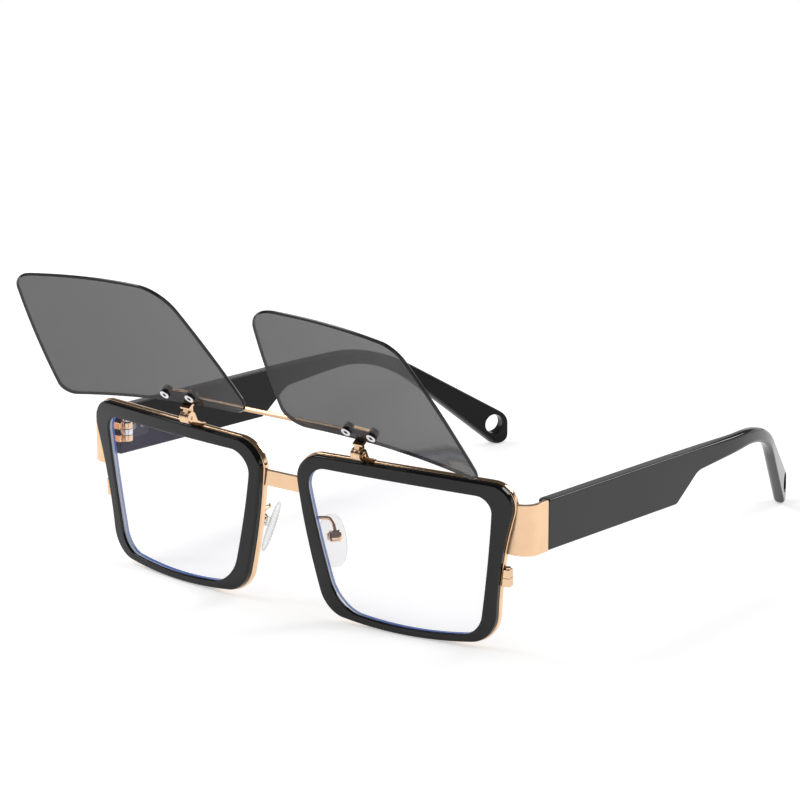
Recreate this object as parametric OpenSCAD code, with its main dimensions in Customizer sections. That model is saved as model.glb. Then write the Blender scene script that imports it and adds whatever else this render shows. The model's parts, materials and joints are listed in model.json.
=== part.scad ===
// Flip-up sunglasses: a clear pair with a black plastic front in metal eyewires,
// and two tinted lenses on one bar that hinge up on the rims.
// Millimetres. +X is the wearer's left, -Y the front, +Z up, the table is z = 0.

/* [Front] */
// Half of the gap between the two rings at their upper nose corners
half_gap = 5.3; // [4:0.1:8]
// Width of a ring along its top edge
ring_w = 64.3; // [56:0.1:70]
// Height of a ring from corner to corner
ring_h = 40.2; // [34:0.1:46]
// How far the lower nose corner moves outward from the upper one
nose_slant = 7.9; // [4:0.1:12]
// How far the lower outer corner moves inward from the upper one
outer_slant = 8.1; // [4:0.1:12]
// Radius of the front curve seen from above
front_radius = 217; // [120:1:400]
// Turn of each ring back towards the temple
wrap = 7.2; // [0:0.1:12]
// Forward lean of the front when the glasses rest on a table
lean = 4.1; // [0:0.1:8]
// Depth of the plastic ring
ring_t = 1.6; // [1.2:0.1:3]
// Depth of the metal eyewire behind the ring
wire_t = 1.7; // [1.2:0.1:3]
// Width of the eyewire strip
wire_w = 1.4; // [1:0.1:1.7]
// How far the eyewire shows around the ring
wire_show = 0.3; // [0.1:0.05:0.6]
// Thickness of the clear lens
clear_t = 1.6; // [1.2:0.1:2.2]

/* [Bridge and endpieces] */
// Height of the bridge bar
bridge_h = 3.9; // [3:0.1:6]
// Height of the middle of the bridge above the table
bridge_z = 33.8; // [28:0.1:37]
// Thickness of the bent metal plates
plate_t = 1.2; // [0.8:0.1:1.6]
// Distance from the middle to the outer face of an endpiece
half_width = 70.5; // [69:0.1:76]
// Outer radius of the bend in an endpiece
endpiece_bend = 4.4; // [3:0.1:6]

/* [Temples] */
// Depth at which the temples meet the endpieces
joint_y = 15; // [13.5:0.1:20]
// Height of the top edge of a temple at its front end
temple_top = 38.2; // [34:0.1:42]
// Height of the wide front part of a temple
temple_h = 12.9; // [9:0.1:16]
// Height of the slim part of a temple
temple_slim_h = 6; // [4:0.1:8]
// Thickness of a temple
temple_t = 3.2; // [2.6:0.1:4]
// Depth from the front of the temple to the step in its lower edge
step_y = 58; // [30:1:70]
// Depth from the joint to the end of the tip
temple_reach = 143.4; // [130:0.1:155]
// Angle at which the temples close towards each other
temple_close = 1.1; // [0:0.1:3]
// Angle at which the tips turn inward
tip_turn = 25; // [10:1:30]
// Diameter of the hole through each tip
tip_hole_d = 5.4; // [3:0.1:6]

/* [Temple hinges] */
// Radius of the hinge knuckles
knuckle_r = 1.7; // [1.4:0.1:2]
// Height of one hinge knuckle
knuckle_h = 1.7; // [1.4:0.1:2.2]
// Radius of the hinge screw
hinge_screw_r = 0.65; // [0.5:0.05:0.8]

/* [Nose pads] */
// Length of a nose pad
pad_l = 13.6; // [12:0.1:16]
// Width of a nose pad
pad_w = 7.3; // [6:0.1:9]
// Thickness of a nose pad
pad_t = 1.9; // [1.4:0.1:2.4]
// Turn of a nose pad seen from above
pad_splay = 37; // [25:1:40]
// Spread of the lower ends of the nose pads
pad_spread = 19; // [10:1:22]

/* [Flip-up lenses] */
// Distance from the middle to the centre of a flip hinge
flip_x = 27.3; // [24:0.1:30]
// Height of the flip hinge axis above the top of the ring at the hinge
flip_rise = 2.9; // [2.6:0.1:4]
// Radius of the flip hinge knuckles
flip_knuckle_r = 1.6; // [1.5:0.1:2]
// Forward lean of the raised lenses from upright
flip_lean = 35.7; // [20:0.1:60]
// Thickness of a tinted lens
tint_t = 1; // [1:0.1:2]
// Radius of the curve of a tinted lens
tint_radius = 250; // [160:1:400]
// Width of a tinted lens along its hinge edge
tint_w = 61.9; // [56:0.1:64]
// Height of a tinted lens
tint_h = 43.2; // [36:0.1:46]
// Turn of each tinted lens back towards its outer end
tint_turn = 3.7; // [0:0.1:7]
// Distance between the two screws of a tinted lens
screw_gap = 7.9; // [6.5:0.1:9]
// Radius of the lens screws
lens_screw_r = 0.5; // [0.4:0.05:0.6]
// Thickness of the flip bar
bar_t = 0.9; // [0.7:0.05:1.2]

/* [Hidden] */
LEFT = 1;
RIGHT = -1;
fit_gap = 0.03;
joint_gap = 0.1;
far = 200;
smooth = 96;
gold = [0.93, 0.78, 0.62];
black = [0.12, 0.12, 0.13];
silver = [0.8, 0.8, 0.82];
glass = [0.85, 0.9, 0.97, 0.4];
smoke = [0.35, 0.34, 0.36, 0.7];

// Outline tools: corners run anticlockwise, as [across, up]
function unit(v) = v / norm(v);
function left_of(v) = [-v[1], v[0]];
function angle_of(v) = atan2(v[1], v[0]);
function short_turn(a) = a > 180 ? a - 360 : a < -180 ? a + 360 : a;

function corner_arc(before, corner, after, radius, steps) =
  let (
    to_before = unit(before - corner),
    to_after = unit(after - corner),
    half = acos(to_before * to_after) / 2,
    centre = corner + unit(to_before + to_after) * radius / sin(half),
    first = angle_of(corner + to_before * radius / tan(half) - centre),
    last = angle_of(corner + to_after * radius / tan(half) - centre),
    sweep = short_turn(last - first)
  )
  [for (i = [0:steps]) let (a = first + sweep * i / steps) centre + radius * [cos(a), sin(a)]];

// Each side between two rounded corners is divided, so that it can be bowed
function rounded(corners, radii, steps = 10, side_steps = 1) =
  let (
    n = len(corners),
    arcs = [for (i = [0:n - 1])
      corner_arc(corners[(i + n - 1) % n], corners[i], corners[(i + 1) % n], radii[i], steps)]
  )
  [for (i = [0:n - 1]) each concat(
    arcs[i],
    [for (k = [1:1:side_steps - 1]) let (s = k / side_steps)
      arcs[i][steps] * (1 - s) + arcs[(i + 1) % n][0] * s]
  )];

// Corners of the same outline with every side moved inward
function inset(corners, amount) =
  let (n = len(corners))
  [for (i = [0:n - 1]) let (
      a = left_of(unit(corners[i] - corners[(i + n - 1) % n])),
      b = left_of(unit(corners[(i + 1) % n] - corners[i]))
    ) corners[i] + amount * (a + b) / (1 + a * b)];

function clamp01(a) = min(1, max(0, a));

// Bows are [bottom, top, nose side, outer side], each outward
function bowed(points, corners, bows) =
  let (
    middle = (corners[0][0] + corners[1][0]) / 2,
    half = (corners[1][0] - corners[0][0]) / 2 + 4,
    low = corners[0][1],
    high = corners[2][1]
  )
  [for (p = points) let (
      down = clamp01((high - p[1]) / (high - low)),
      out = clamp01((p[0] - corners[3][0]) / (corners[2][0] - corners[3][0])),
      across = 1 - pow((p[0] - middle) / half, 2),
      along = 1 - pow((p[1] - (low + high) / 2) / ((high - low) / 2), 2)
    ) p + [
      along * (bows[3] * out - bows[2] * (1 - out)),
      across * (bows[1] * (1 - down) - bows[0] * down)
    ]];

// Ring outline in its own plane: [across from the nose, up]
ring_corners = [
  [nose_slant, 0],
  [ring_w - outer_slant, -0.3],
  [ring_w, ring_h - 0.5],
  [0, ring_h]
];
ring_radii = [6.2, 7.9, 6.6, 6.2];
ring_bows = [2.8, 0.8, 1.3, -1.9];
opening_corners = ring_corners + [[3.8, 1.7], [-4.2, 1.5], [-7.6, -3.4], [3.3, -3]];
opening_radii = [8.3, 5.1, 3.8, 4.9];
opening_bows = [2.4, 0.4, 0.95, 0.5];
lens_lap = 0.6;
lens_seat = 0.7;

function ring_outline(outward) = bowed(
  rounded(inset(ring_corners, -outward), [for (r = ring_radii) r + outward], 10, 8),
  ring_corners, ring_bows);
function opening_outline(outward) = bowed(
  rounded(inset(opening_corners, -outward), [for (r = opening_radii) r + outward], 8, 8),
  opening_corners, opening_bows);

// The front curve: how far a place lies behind the straight line through both ends
ring_mid = ring_w / 2;
front_sag = pow(ring_mid, 2) / (2 * front_radius);
function front_depth(across) = pow(across - ring_mid, 2) / (2 * front_radius) - front_sag;

// A place on the front in the part's frame, before it is raised to the table
function front_point(across, depth, up) =
  let (
    x = half_gap + across * cos(wrap) - (depth + front_depth(across)) * sin(wrap),
    y = across * sin(wrap) + (depth + front_depth(across)) * cos(wrap)
  )
  [x, y * cos(lean) - up * sin(lean), y * sin(lean) + up * cos(lean)];

front_lift = -min([for (p = ring_outline(wire_show)) front_point(p[0], ring_t, p[1])[2]]);
wire_back = ring_t + wire_t;

// Flip hinge axis, from the top of the ring under it
flip_across = (flip_x - half_gap) / cos(wrap);
flip_top = front_point(flip_across, 0, ring_h + 0.6) + [0, 0, front_lift];
flip_forward = 2.2;
flip_y = flip_top[1] - flip_forward;
flip_z = flip_top[2] + flip_rise;

// Temple: side view corners as [depth, height]
slim_drop = 2.3;
line_fall = tan(slim_drop);
tip_end_y = joint_y + temple_reach;
tip_top_fall = tan(33.5);
tip_low_angle = 42;
tip_low_r = 2.6;
tip_corner_z = tip_low_r - tip_low_r * sin(90 + (90 - tip_low_angle) / 2) / sin((90 - tip_low_angle) / 2);
tip_top_z = 8.2;
temple_front_y = joint_y + joint_gap;
bend_top_y = (temple_top + line_fall * joint_y - tip_top_z - tip_top_fall * tip_end_y)
  / (line_fall - tip_top_fall);
bend_top_z = temple_top - line_fall * (bend_top_y - joint_y);
step_low = [joint_y + step_y, temple_top - temple_h - line_fall * step_y];
step_high_y = joint_y + step_y + 10;
slim_low_z = temple_top - line_fall * (step_high_y - joint_y) - temple_slim_h;
bend_low_z = slim_low_z + 0.9;
bend_low_y = tip_end_y - (bend_low_z - tip_corner_z) / tan(tip_low_angle);
temple_corners = [
  [temple_front_y, temple_top - temple_h],
  step_low,
  [step_high_y, slim_low_z],
  [bend_low_y, bend_low_z],
  [tip_end_y, tip_corner_z],
  [tip_end_y, tip_top_z],
  [bend_top_y, bend_top_z],
  [temple_front_y, temple_top]
];
temple_radii = [0.8, 2, 7, 36, tip_low_r, 5.2, 48, 0.8];

// Temple: centre line seen from above as [x, y]
temple_x = half_width - 0.1 - temple_t / 2;
ear_curve_y = 98;
ear_curve_r = 82;
ear_start = [temple_x - tan(temple_close) * (ear_curve_y - joint_y), ear_curve_y];
function heading(a) = [-sin(a), cos(a)];
function ear_arc(a) = ear_start + ear_curve_r * [cos(a) - cos(temple_close), sin(a) - sin(temple_close)];
ear_end = ear_arc(tip_turn);
strip_end = ear_end + heading(tip_turn) * 60;
temple_line = concat(
  [[[temple_x + tan(temple_close) * 5, joint_y - 5], temple_close]],
  [for (i = [0:12]) let (a = temple_close + (tip_turn - temple_close) * i / 12) [ear_arc(a), a]],
  [[strip_end, tip_turn]]
);
function beside(place, distance) = place[0] + distance * [cos(place[1]), sin(place[1])];

// The hole through the tip, on the centre line
tip_hole_y = tip_end_y - 3.9;
tip_hole_z = 6.2;
tip_hole_x = ear_end[0] - tan(tip_turn) * (tip_hole_y - ear_end[1]);

// Temple hinge: its axis stands upright beside the inner face of the temple
hinge_inset = knuckle_r + 0.6;
hinge_x = temple_x - temple_t / 2 - hinge_inset;
hinge_mid_z = temple_top - temple_h / 2 + 0.5;
knuckle_gap = 0.06;
hinge_low = hinge_mid_z - 1.5 * knuckle_h;
hinge_high = hinge_mid_z + 1.5 * knuckle_h;
leaf_t = 0.8;
leaf_l = 8;
leaf_h = 6.4;
rivet_r = 0.55;
rivet_places = [4.4, 7.6];

// Nose pads
pad_centre = [9.9, 7.2, 18.4];
box_offset = 1;
pad_pin_x = 2.5;
pad_pin_r = 0.45;

// Flip assembly in its own frame: y away from the eyes, z up along the raised lens
lens_stand = 1.9;
lens_edge = 3.5;
screw_up = lens_edge + 2.25;
screw_mid = flip_x + 1.6;
screw_places = [screw_mid - screw_gap / 2, screw_mid + screw_gap / 2];
tint_half_gap = 5.2;
tint_mid = tint_w / 2;
tint_sag = pow(tint_mid, 2) / (2 * tint_radius);
tint_near = screw_mid - tint_half_gap;
tint_base = lens_stand + tint_near * sin(tint_turn)
  - cos(tint_turn) * (tint_sag - pow(tint_near - tint_mid, 2) / (2 * tint_radius));
carrier_t = 0.9;
lug_r = 1.3;
bushing_r = 1.3;
nut_t = 0.5;
nut_r = 1.3;
tint_corners = [[0, 0], [tint_w, -2.1], [tint_w - 7.1, tint_h - 0.3], [8.5, tint_h]];
tint_radii = [5.6, 3.8, 6, 9];
tint_bows = [0, 1.1, 0.9, 0.9];
tint_outline = bowed(rounded(tint_corners, tint_radii, 10, 8), tint_corners, tint_bows);

// The part's frame has its origin under the middle of the whole object
function flip_depth(up, out) = flip_y + out * cos(flip_lean) - up * sin(flip_lean);
front_reach = min([for (p = tint_outline)
  flip_depth(lens_edge + p[1], tint_base - p[0] * sin(tint_turn)
    + cos(tint_turn) * (tint_sag - pow(p[0] - tint_mid, 2) / (2 * tint_radius)))]);
middle_y = (front_reach + tip_end_y) / 2;

module centred() {
  translate([0, -middle_y, 0]) children();
}

module on_side(side) {
  centred()
    if (side == LEFT) children();
    else mirror([1, 0, 0]) children();
}

module in_front() {
  translate([0, 0, front_lift])
    rotate([lean, 0, 0])
      translate([half_gap, 0, 0])
        rotate([0, 0, wrap])
          children();
}

// A flat outline made solid between two depths, standing upright
module upright(from, to) {
  translate([0, to, 0])
    rotate([90, 0, 0])
      linear_extrude(to - from)
        children();
}

// A side view outline, as [depth, height], made solid between two places across
module sideways(from, to) {
  translate([from, 0, 0])
    rotate([90, 0, 90])
      linear_extrude(to - from)
        children();
}

// The space between two depths behind the curved front face
module front_layer(from, to) {
  translate([ring_mid, front_radius - front_sag, -20])
    difference() {
      cylinder(r = front_radius - from, h = 90, $fn = 720);
      translate([0, 0, -1]) cylinder(r = front_radius - to, h = 92, $fn = 720);
    }
}

module front_piece(outline, from, to) {
  intersection() {
    upright(from - 6, to + 6) polygon(outline);
    front_layer(from, to);
  }
}

// All that the eyewire covers, for cutting plates to its outer edge
module wire_envelope() {
  in_front() upright(-8, 14) polygon(ring_outline(wire_show));
}

module rod(from, to, radius) {
  run = to - from;
  translate(from)
    rotate([0, acos(run[2] / norm(run)), atan2(run[1], run[0])])
      cylinder(r = radius, h = norm(run), $fn = 32);
}

// Front
module front_ring(side) {
  color(black)
    on_side(side) in_front()
      difference() {
        front_piece(ring_outline(0), 0, ring_t);
        upright(-20, 20) polygon(opening_outline(0));
        front_piece(opening_outline(lens_lap + fit_gap), lens_seat, ring_t + 1);
      }
}

module eyewire(side) {
  color(gold)
    on_side(side) in_front()
      difference() {
        front_piece(ring_outline(wire_show), ring_t, wire_back);
        upright(-20, 20) polygon(ring_outline(wire_show - wire_w));
        translate([ring_w / 2, 0, closing_v - fit_gap]) cube([far, 20, 2 * fit_gap]);
      }
}

module clear_lens(side) {
  color(glass)
    on_side(side) in_front()
      front_piece(opening_outline(lens_lap), lens_seat, lens_seat + clear_t);
}

closing_v = 15.5;
closing_h = 4.4;
closing_u = ring_w - outer_slant + outer_slant * closing_v / ring_h + ring_bows[3];
closing_depth = front_depth(closing_u) + ring_t + wire_t / 2;
closing_pin_u = closing_u + 1.7;

module closing_block(side) {
  color(gold)
    on_side(side) in_front()
      difference() {
        translate([closing_u - 1, closing_depth - 1, closing_v - closing_h / 2])
          cube([3.5, 2, closing_h]);
        upright(-20, 20) polygon(ring_outline(wire_show));
        translate([closing_u - 2, -5, closing_v - fit_gap]) cube([10, 20, 2 * fit_gap]);
        translate([closing_pin_u, closing_depth, closing_v - closing_h])
          cylinder(r = 0.45, h = 2 * closing_h, $fn = smooth);
      }
}

module closing_screw(side) {
  color(silver)
    on_side(side) in_front()
      translate([closing_pin_u, closing_depth, closing_v + closing_h / 2])
        difference() {
          union() {
            translate([0, 0, 0.3 - closing_h]) cylinder(r = 0.45 - fit_gap / 2, h = closing_h, $fn = smooth);
            cylinder(r = 0.75, h = 0.5, $fn = smooth);
          }
          translate([-1, -0.12, 0.25]) cube([2, 0.24, 1]);
        }
}

// Bridge: a flat bar between the two eyewires
bridge_y = front_point(1, ring_t, bridge_z - front_lift)[1] + 0.25;

module bridge() {
  color(gold)
    centred()
      difference() {
        translate([-half_gap - 2.4, bridge_y, bridge_z - bridge_h / 2])
          cube([2 * half_gap + 4.8, plate_t, bridge_h]);
        wire_envelope();
        mirror([1, 0, 0]) wire_envelope();
      }
}

// Endpieces: a plate from the eyewire, bent back to the temple
endpiece_low = temple_top - temple_h;
endpiece_out_y = front_point(ring_w, ring_t, ring_h)[1] + 0.1;
bend_centre = [half_width - endpiece_bend, endpiece_out_y + endpiece_bend];

module endpiece_plan() {
  translate([bend_centre[0] - 5, endpiece_out_y]) square([5, plate_t]);
  intersection() {
    difference() {
      translate(bend_centre) circle(r = endpiece_bend, $fn = smooth);
      translate(bend_centre) circle(r = endpiece_bend - plate_t, $fn = smooth);
    }
    translate(bend_centre + [0, -10]) square([10, 10]);
  }
  translate([half_width - plate_t, bend_centre[1]]) square([plate_t, joint_y - bend_centre[1]]);
}

module endpiece(side) {
  color(gold)
    on_side(side)
      difference() {
        translate([0, 0, endpiece_low]) linear_extrude(temple_h) endpiece_plan();
        wire_envelope();
      }
}

// Temple hinges
module knuckle(from, to, radius) {
  translate([hinge_x, joint_y, from]) cylinder(r = radius, h = to - from, $fn = smooth);
}

module endpiece_hinge(side) {
  web_y = joint_y - knuckle_r - 1;
  color(gold)
    on_side(side)
      difference() {
        union() {
          knuckle(hinge_low, hinge_high, knuckle_r);
          translate([hinge_x, web_y, hinge_low])
            cube([half_width - plate_t - hinge_x, joint_y - joint_gap - web_y, 3 * knuckle_h]);
        }
        knuckle(hinge_low + knuckle_h, hinge_high - knuckle_h, knuckle_r + 0.2);
        knuckle(hinge_low - 1, hinge_high + 1, hinge_screw_r + fit_gap);
      }
}

module temple_hinge(side) {
  low = hinge_low + knuckle_h + knuckle_gap;
  high = hinge_high - knuckle_h - knuckle_gap;
  inner_x = temple_x - temple_t / 2;
  color(gold)
    on_side(side)
      difference() {
        union() {
          knuckle(low, high, knuckle_r);
          translate([hinge_x, joint_y + joint_gap, low])
            cube([inner_x - leaf_t / 2 - hinge_x, knuckle_r + 0.9, high - low]);
          translate([inner_x, joint_y, hinge_mid_z - leaf_h / 2])
            rotate([0, 0, temple_close])
              translate([-leaf_t, knuckle_r + 0.4, 0])
                cube([leaf_t, leaf_l, leaf_h]);
        }
        knuckle(low - 1, high + 1, hinge_screw_r + fit_gap);
        rivet_holes(-3, 1);
      }
}

// Places along the temple's inner face where the rivets go through
module rivet_places_on() {
  translate([temple_x - temple_t / 2, joint_y, hinge_mid_z])
    rotate([0, 0, temple_close])
      for (place = rivet_places)
        translate([0, place, 0]) rotate([0, 90, 0]) children();
}

module rivet_holes(from, to) {
  rivet_places_on() translate([0, 0, from]) cylinder(r = rivet_r, h = to - from, $fn = smooth);
}

module temple_rivets(side) {
  color(silver)
    on_side(side)
      rivet_places_on()
        union() {
          translate([0, 0, -leaf_t]) cylinder(r = rivet_r, h = leaf_t + 2, $fn = smooth);
          translate([0, 0, -leaf_t - 0.35]) cylinder(r = 0.9, h = 0.35, $fn = smooth);
        }
}

module hinge_screw(side) {
  color(silver)
    on_side(side)
      difference() {
        union() {
          knuckle(hinge_low, hinge_high, hinge_screw_r);
          knuckle(hinge_high, hinge_high + 0.7, 1.25);
        }
        translate([hinge_x - 2, joint_y - 0.15, hinge_high + 0.35]) cube([4, 0.3, 1]);
      }
}

// Temples: the side view outline cut out of a strip that turns in behind the ear
module temple_strip() {
  polygon(concat(
    [for (i = [0:len(temple_line) - 1]) beside(temple_line[i], temple_t / 2)],
    [for (i = [len(temple_line) - 1:-1:0]) beside(temple_line[i], -temple_t / 2)]
  ));
}

module temple(side) {
  color(black)
    on_side(side)
      difference() {
        intersection() {
          sideways(0, 90) polygon(rounded(temple_corners, temple_radii, 12));
          translate([0, 0, -5]) linear_extrude(60) temple_strip();
        }
        translate([tip_hole_x, tip_hole_y, tip_hole_z])
          rotate([0, 0, tip_turn])
            rotate([0, 90, 0])
              translate([0, 0, -5]) cylinder(d = tip_hole_d, h = 10, $fn = smooth);
        rivet_holes(-1, 2);
      }
}

// Nose pads
module at_pad() {
  translate(pad_centre) rotate([0, 0, -pad_splay]) rotate([0, -pad_spread, 0]) children();
}

function rotated_pad(p) =
  let (
    x = p[0] * cos(pad_spread) - p[2] * sin(pad_spread),
    z = p[0] * sin(pad_spread) + p[2] * cos(pad_spread)
  )
  pad_centre + [x * cos(pad_splay) + p[1] * sin(pad_splay), p[1] * cos(pad_splay) - x * sin(pad_splay), z];

module nose_pad(side) {
  color(glass)
    on_side(side) at_pad()
      difference() {
        union() {
          translate([-pad_t / 2, 0, 0])
            rotate([90, 0, 90])
              linear_extrude(pad_t)
                polygon([for (a = [0:7.5:352.5]) [pad_w / 2 * cos(a), pad_l / 2 * sin(a)]]);
          translate([0, -0.8, box_offset - 1.1]) cube([pad_pin_x + 0.9, 1.6, 2.2]);
        }
        pad_pin_bore(pad_pin_r + fit_gap);
      }
}

module pad_pin_bore(radius) {
  translate([pad_pin_x, -4, box_offset]) rotate([-90, 0, 0]) cylinder(r = radius, h = 8, $fn = smooth);
}

module pad_box(side) {
  color(gold)
    on_side(side) at_pad()
      difference() {
        translate([1.5, -1.6, box_offset - 1.5]) cube([2.7, 3.2, 3]);
        translate([1, -0.95, box_offset - 2]) cube([pad_pin_x + 0.2, 1.9, 4]);
        pad_pin_bore(pad_pin_r);
      }
}

module pad_screw(side) {
  color(silver)
    on_side(side) at_pad()
      translate([pad_pin_x, 0, box_offset])
        rotate([-90, 0, 0])
          difference() {
            union() {
              translate([0, 0, -1.6]) cylinder(r = pad_pin_r, h = 3.2, $fn = smooth);
              translate([0, 0, -2]) cylinder(r = 0.85, h = 0.4, $fn = smooth);
            }
            translate([-1, -0.12, -2.1]) cube([2, 0.24, 0.3]);
          }
}

pad_wire_r = 0.5;
arm_up = 21.6;
arm_across = nose_slant * (1 - arm_up / ring_h) - ring_bows[2] - wire_show + wire_w / 2;

module elbow(before, joint, after, radius) {
  run = unit(unit(joint - before) + unit(after - joint));
  translate(joint)
    rotate([0, acos(run[2]), atan2(run[1], run[0])])
      sphere(r = radius, $fn = 32);
}

module pad_arm(side) {
  root = front_point(arm_across, wire_back, arm_up) + [0, 0, front_lift];
  bend = root + [0, 2.2, 0];
  knee = root + [2.4, 5.2, -0.4];
  seat = rotated_pad([3.6, 0, box_offset + 0.4]);
  color(gold)
    on_side(side)
      difference() {
        union() {
          rod(root - [0, 1, 0], bend, pad_wire_r);
          rod(bend, knee, pad_wire_r);
          rod(knee, seat, pad_wire_r);
          elbow(root, bend, knee, pad_wire_r + 0.05);
          elbow(bend, knee, seat, pad_wire_r + 0.05);
        }
        in_front() front_layer(-5, wire_back);
        at_pad() translate([-2, -1.6, box_offset - 1.5]) cube([6.2, 3.2, 3]);
      }
}

// Flip hinges
module in_flip() {
  translate([0, flip_y, flip_z]) rotate([flip_lean, 0, 0]) children();
}

flip_ear_t = 0.65;
flip_mid_t = 1.5;
flip_pin_r = 0.45;
flip_half = flip_mid_t / 2 + fit_gap + flip_ear_t;

module flip_barrel(from, to, radius) {
  translate([flip_x + from, flip_y, flip_z])
    rotate([0, 90, 0]) cylinder(r = radius, h = to - from, $fn = smooth);
}

// One ear: the knuckle and the gusset that runs back and down onto the eyewire
module flip_ear(from, to) {
  foot = flip_top + [0, ring_t, 0];
  flip_barrel(from, to, flip_knuckle_r);
  sideways(flip_x + from, flip_x + to)
    polygon([
      [flip_y - 0.7, flip_z - flip_knuckle_r * 0.88],
      [flip_y + 0.9, flip_z - flip_knuckle_r * 1.1],
      [foot[1] - 0.1, foot[2] - 1],
      [foot[1] + wire_t + 0.1, foot[2] - 1],
      [foot[1] + wire_t + 0.1, foot[2] + 0.55],
      [foot[1] + 0.5, foot[2] + 0.75],
      [flip_y + 2.3, flip_z - 1.1],
      [flip_y + 1.5, flip_z + 0.55],
      [flip_y, flip_z]
    ]);
}

module flip_base(side) {
  foot = flip_top + [0, ring_t, 0];
  color(gold)
    on_side(side)
      difference() {
        union() {
          flip_ear(-flip_half, -flip_half + flip_ear_t);
          flip_ear(flip_half - flip_ear_t, flip_half);
          translate([flip_x - flip_half, foot[1] - 0.1, foot[2] - 1])
            cube([2 * flip_half, wire_t + 0.2, 1.55]);
        }
        wire_envelope();
        flip_barrel(-5, 5, flip_pin_r);
      }
}

module flip_pin(side) {
  color(gold)
    on_side(side)
      difference() {
        union() {
          flip_barrel(-flip_half, flip_half, flip_pin_r - fit_gap / 2);
          flip_barrel(flip_half, flip_half + 0.3, 0.8);
        }
        translate([flip_x + flip_half + 0.15, flip_y - 2, flip_z - 0.1]) cube([1, 4, 0.2]);
      }
}

// The outer face of a tinted lens and all inside it
module tint_place() {
  translate([tint_half_gap, tint_base, lens_edge]) rotate([0, 0, -tint_turn]) children();
}

module tint_cylinder(outward) {
  translate([tint_mid, tint_sag - tint_radius, -30])
    cylinder(r = tint_radius + outward, h = 110, $fn = 720);
}

module lens_bores(radius) {
  for (place = screw_places)
    translate([place, -2, screw_up]) rotate([-90, 0, 0]) cylinder(r = radius, h = 10, $fn = smooth);
}

module tinted_lens(side) {
  color(smoke)
    on_side(side) in_flip()
      difference() {
        tint_place()
          intersection() {
            upright(-8, 8) polygon(tint_outline);
            difference() {
              tint_cylinder(tint_t);
              tint_cylinder(0);
            }
          }
        lens_bores(bushing_r);
      }
}

// The space behind a tinted lens, as thick as the plate that holds it
module behind_lens(from, to) {
  tint_place()
    difference() {
      tint_cylinder(to);
      tint_cylinder(from);
    }
}

neck_from = flip_x - 1.3;
neck_to = flip_x + 1.7;
neck_low = flip_knuckle_r + 0.35;
neck_top = lens_edge - 0.85;

module flip_carrier(side) {
  color(gold)
    on_side(side) in_flip()
      difference() {
        union() {
          intersection() {
            union() {
              translate([screw_places[0], 0, screw_up - lug_r]) cube([screw_gap, 10, lug_r + 0.3]);
              translate([neck_from, 0, neck_low]) cube([neck_to - neck_from, 10, screw_up - neck_low]);
              lens_bores(lug_r);
            }
            behind_lens(tint_t, tint_t + carrier_t);
          }
          difference() {
            sideways(neck_from, neck_to)
              polygon([
                [0.8, neck_low], [0.7, neck_low + 0.25], [0.8, neck_top],
                [lens_stand + tint_t + 0.5, neck_top], [lens_stand + tint_t + 0.5, neck_low]
              ]);
            behind_lens(tint_t + carrier_t, 20);
          }
          translate([flip_x, 0, 0])
            rotate([0, 90, 0])
              cylinder(r = flip_knuckle_r, h = flip_mid_t, center = true, $fn = smooth);
          sideways(flip_x - flip_mid_t / 2, flip_x + flip_mid_t / 2)
            polygon([
              [0, 0], [0.1, flip_knuckle_r - 0.03], [0.7, neck_low + 0.2], [2.7, neck_low + 0.2],
              [2.9, neck_low], [1.5, -0.4]
            ]);
        }
        translate([flip_x - 5, 0, 0])
          rotate([0, 90, 0]) cylinder(r = flip_pin_r + fit_gap, h = 10, $fn = smooth);
        lens_bores(lens_screw_r);
        screw_heads(1);
      }
}

bar_h = 1.2;
bar_up = lens_edge + 0.25;

module flip_bar() {
  color(gold)
    centred() in_flip()
      translate([-neck_from, lens_face(neck_from) + tint_t + 0.12, bar_up - bar_h / 2])
        cube([2 * neck_from, bar_t, bar_h]);
}

// Where a screw meets the inner face of its lens
function lens_face(place) =
  let (u = (place - tint_half_gap))
  tint_base - u * sin(tint_turn) + cos(tint_turn) * (tint_sag - pow(u - tint_mid, 2) / (2 * tint_radius));

module lens_bushings(side) {
  color(black)
    on_side(side) in_flip()
      difference() {
        intersection() {
          lens_bores(bushing_r);
          tint_place()
            difference() {
              tint_cylinder(tint_t);
              tint_cylinder(0);
            }
        }
        lens_bores(lens_screw_r);
      }
}

module lens_nuts(side) {
  color(silver)
    on_side(side) in_flip()
      difference() {
        for (place = screw_places)
          translate([place, lens_face(place) - nut_t - 0.07, screw_up])
            rotate([-90, 0, 0]) cylinder(r = nut_r, h = nut_t, $fn = smooth);
        lens_bores(lens_screw_r);
      }
}

// Heads sunk level with the back of the plate, or their recesses when they reach beyond it
module screw_heads(beyond) {
  intersection() {
    lens_bores(0.9);
    behind_lens(tint_t + carrier_t - 0.45, tint_t + carrier_t + beyond);
  }
}

module lens_screws(side) {
  color(gold)
    on_side(side) in_flip()
      difference() {
        union() {
          screw_heads(0);
          for (place = screw_places)
            translate([place, lens_face(place) - nut_t + 0.2, screw_up])
              rotate([-90, 0, 0]) cylinder(r = lens_screw_r, h = nut_t + tint_t + carrier_t - 0.5, $fn = smooth);
        }
        for (place = screw_places)
          translate([place - 0.13, lens_face(place) + tint_t + carrier_t - 0.2, screw_up - 2]) cube([0.26, 3, 4]);
      }
}

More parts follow.
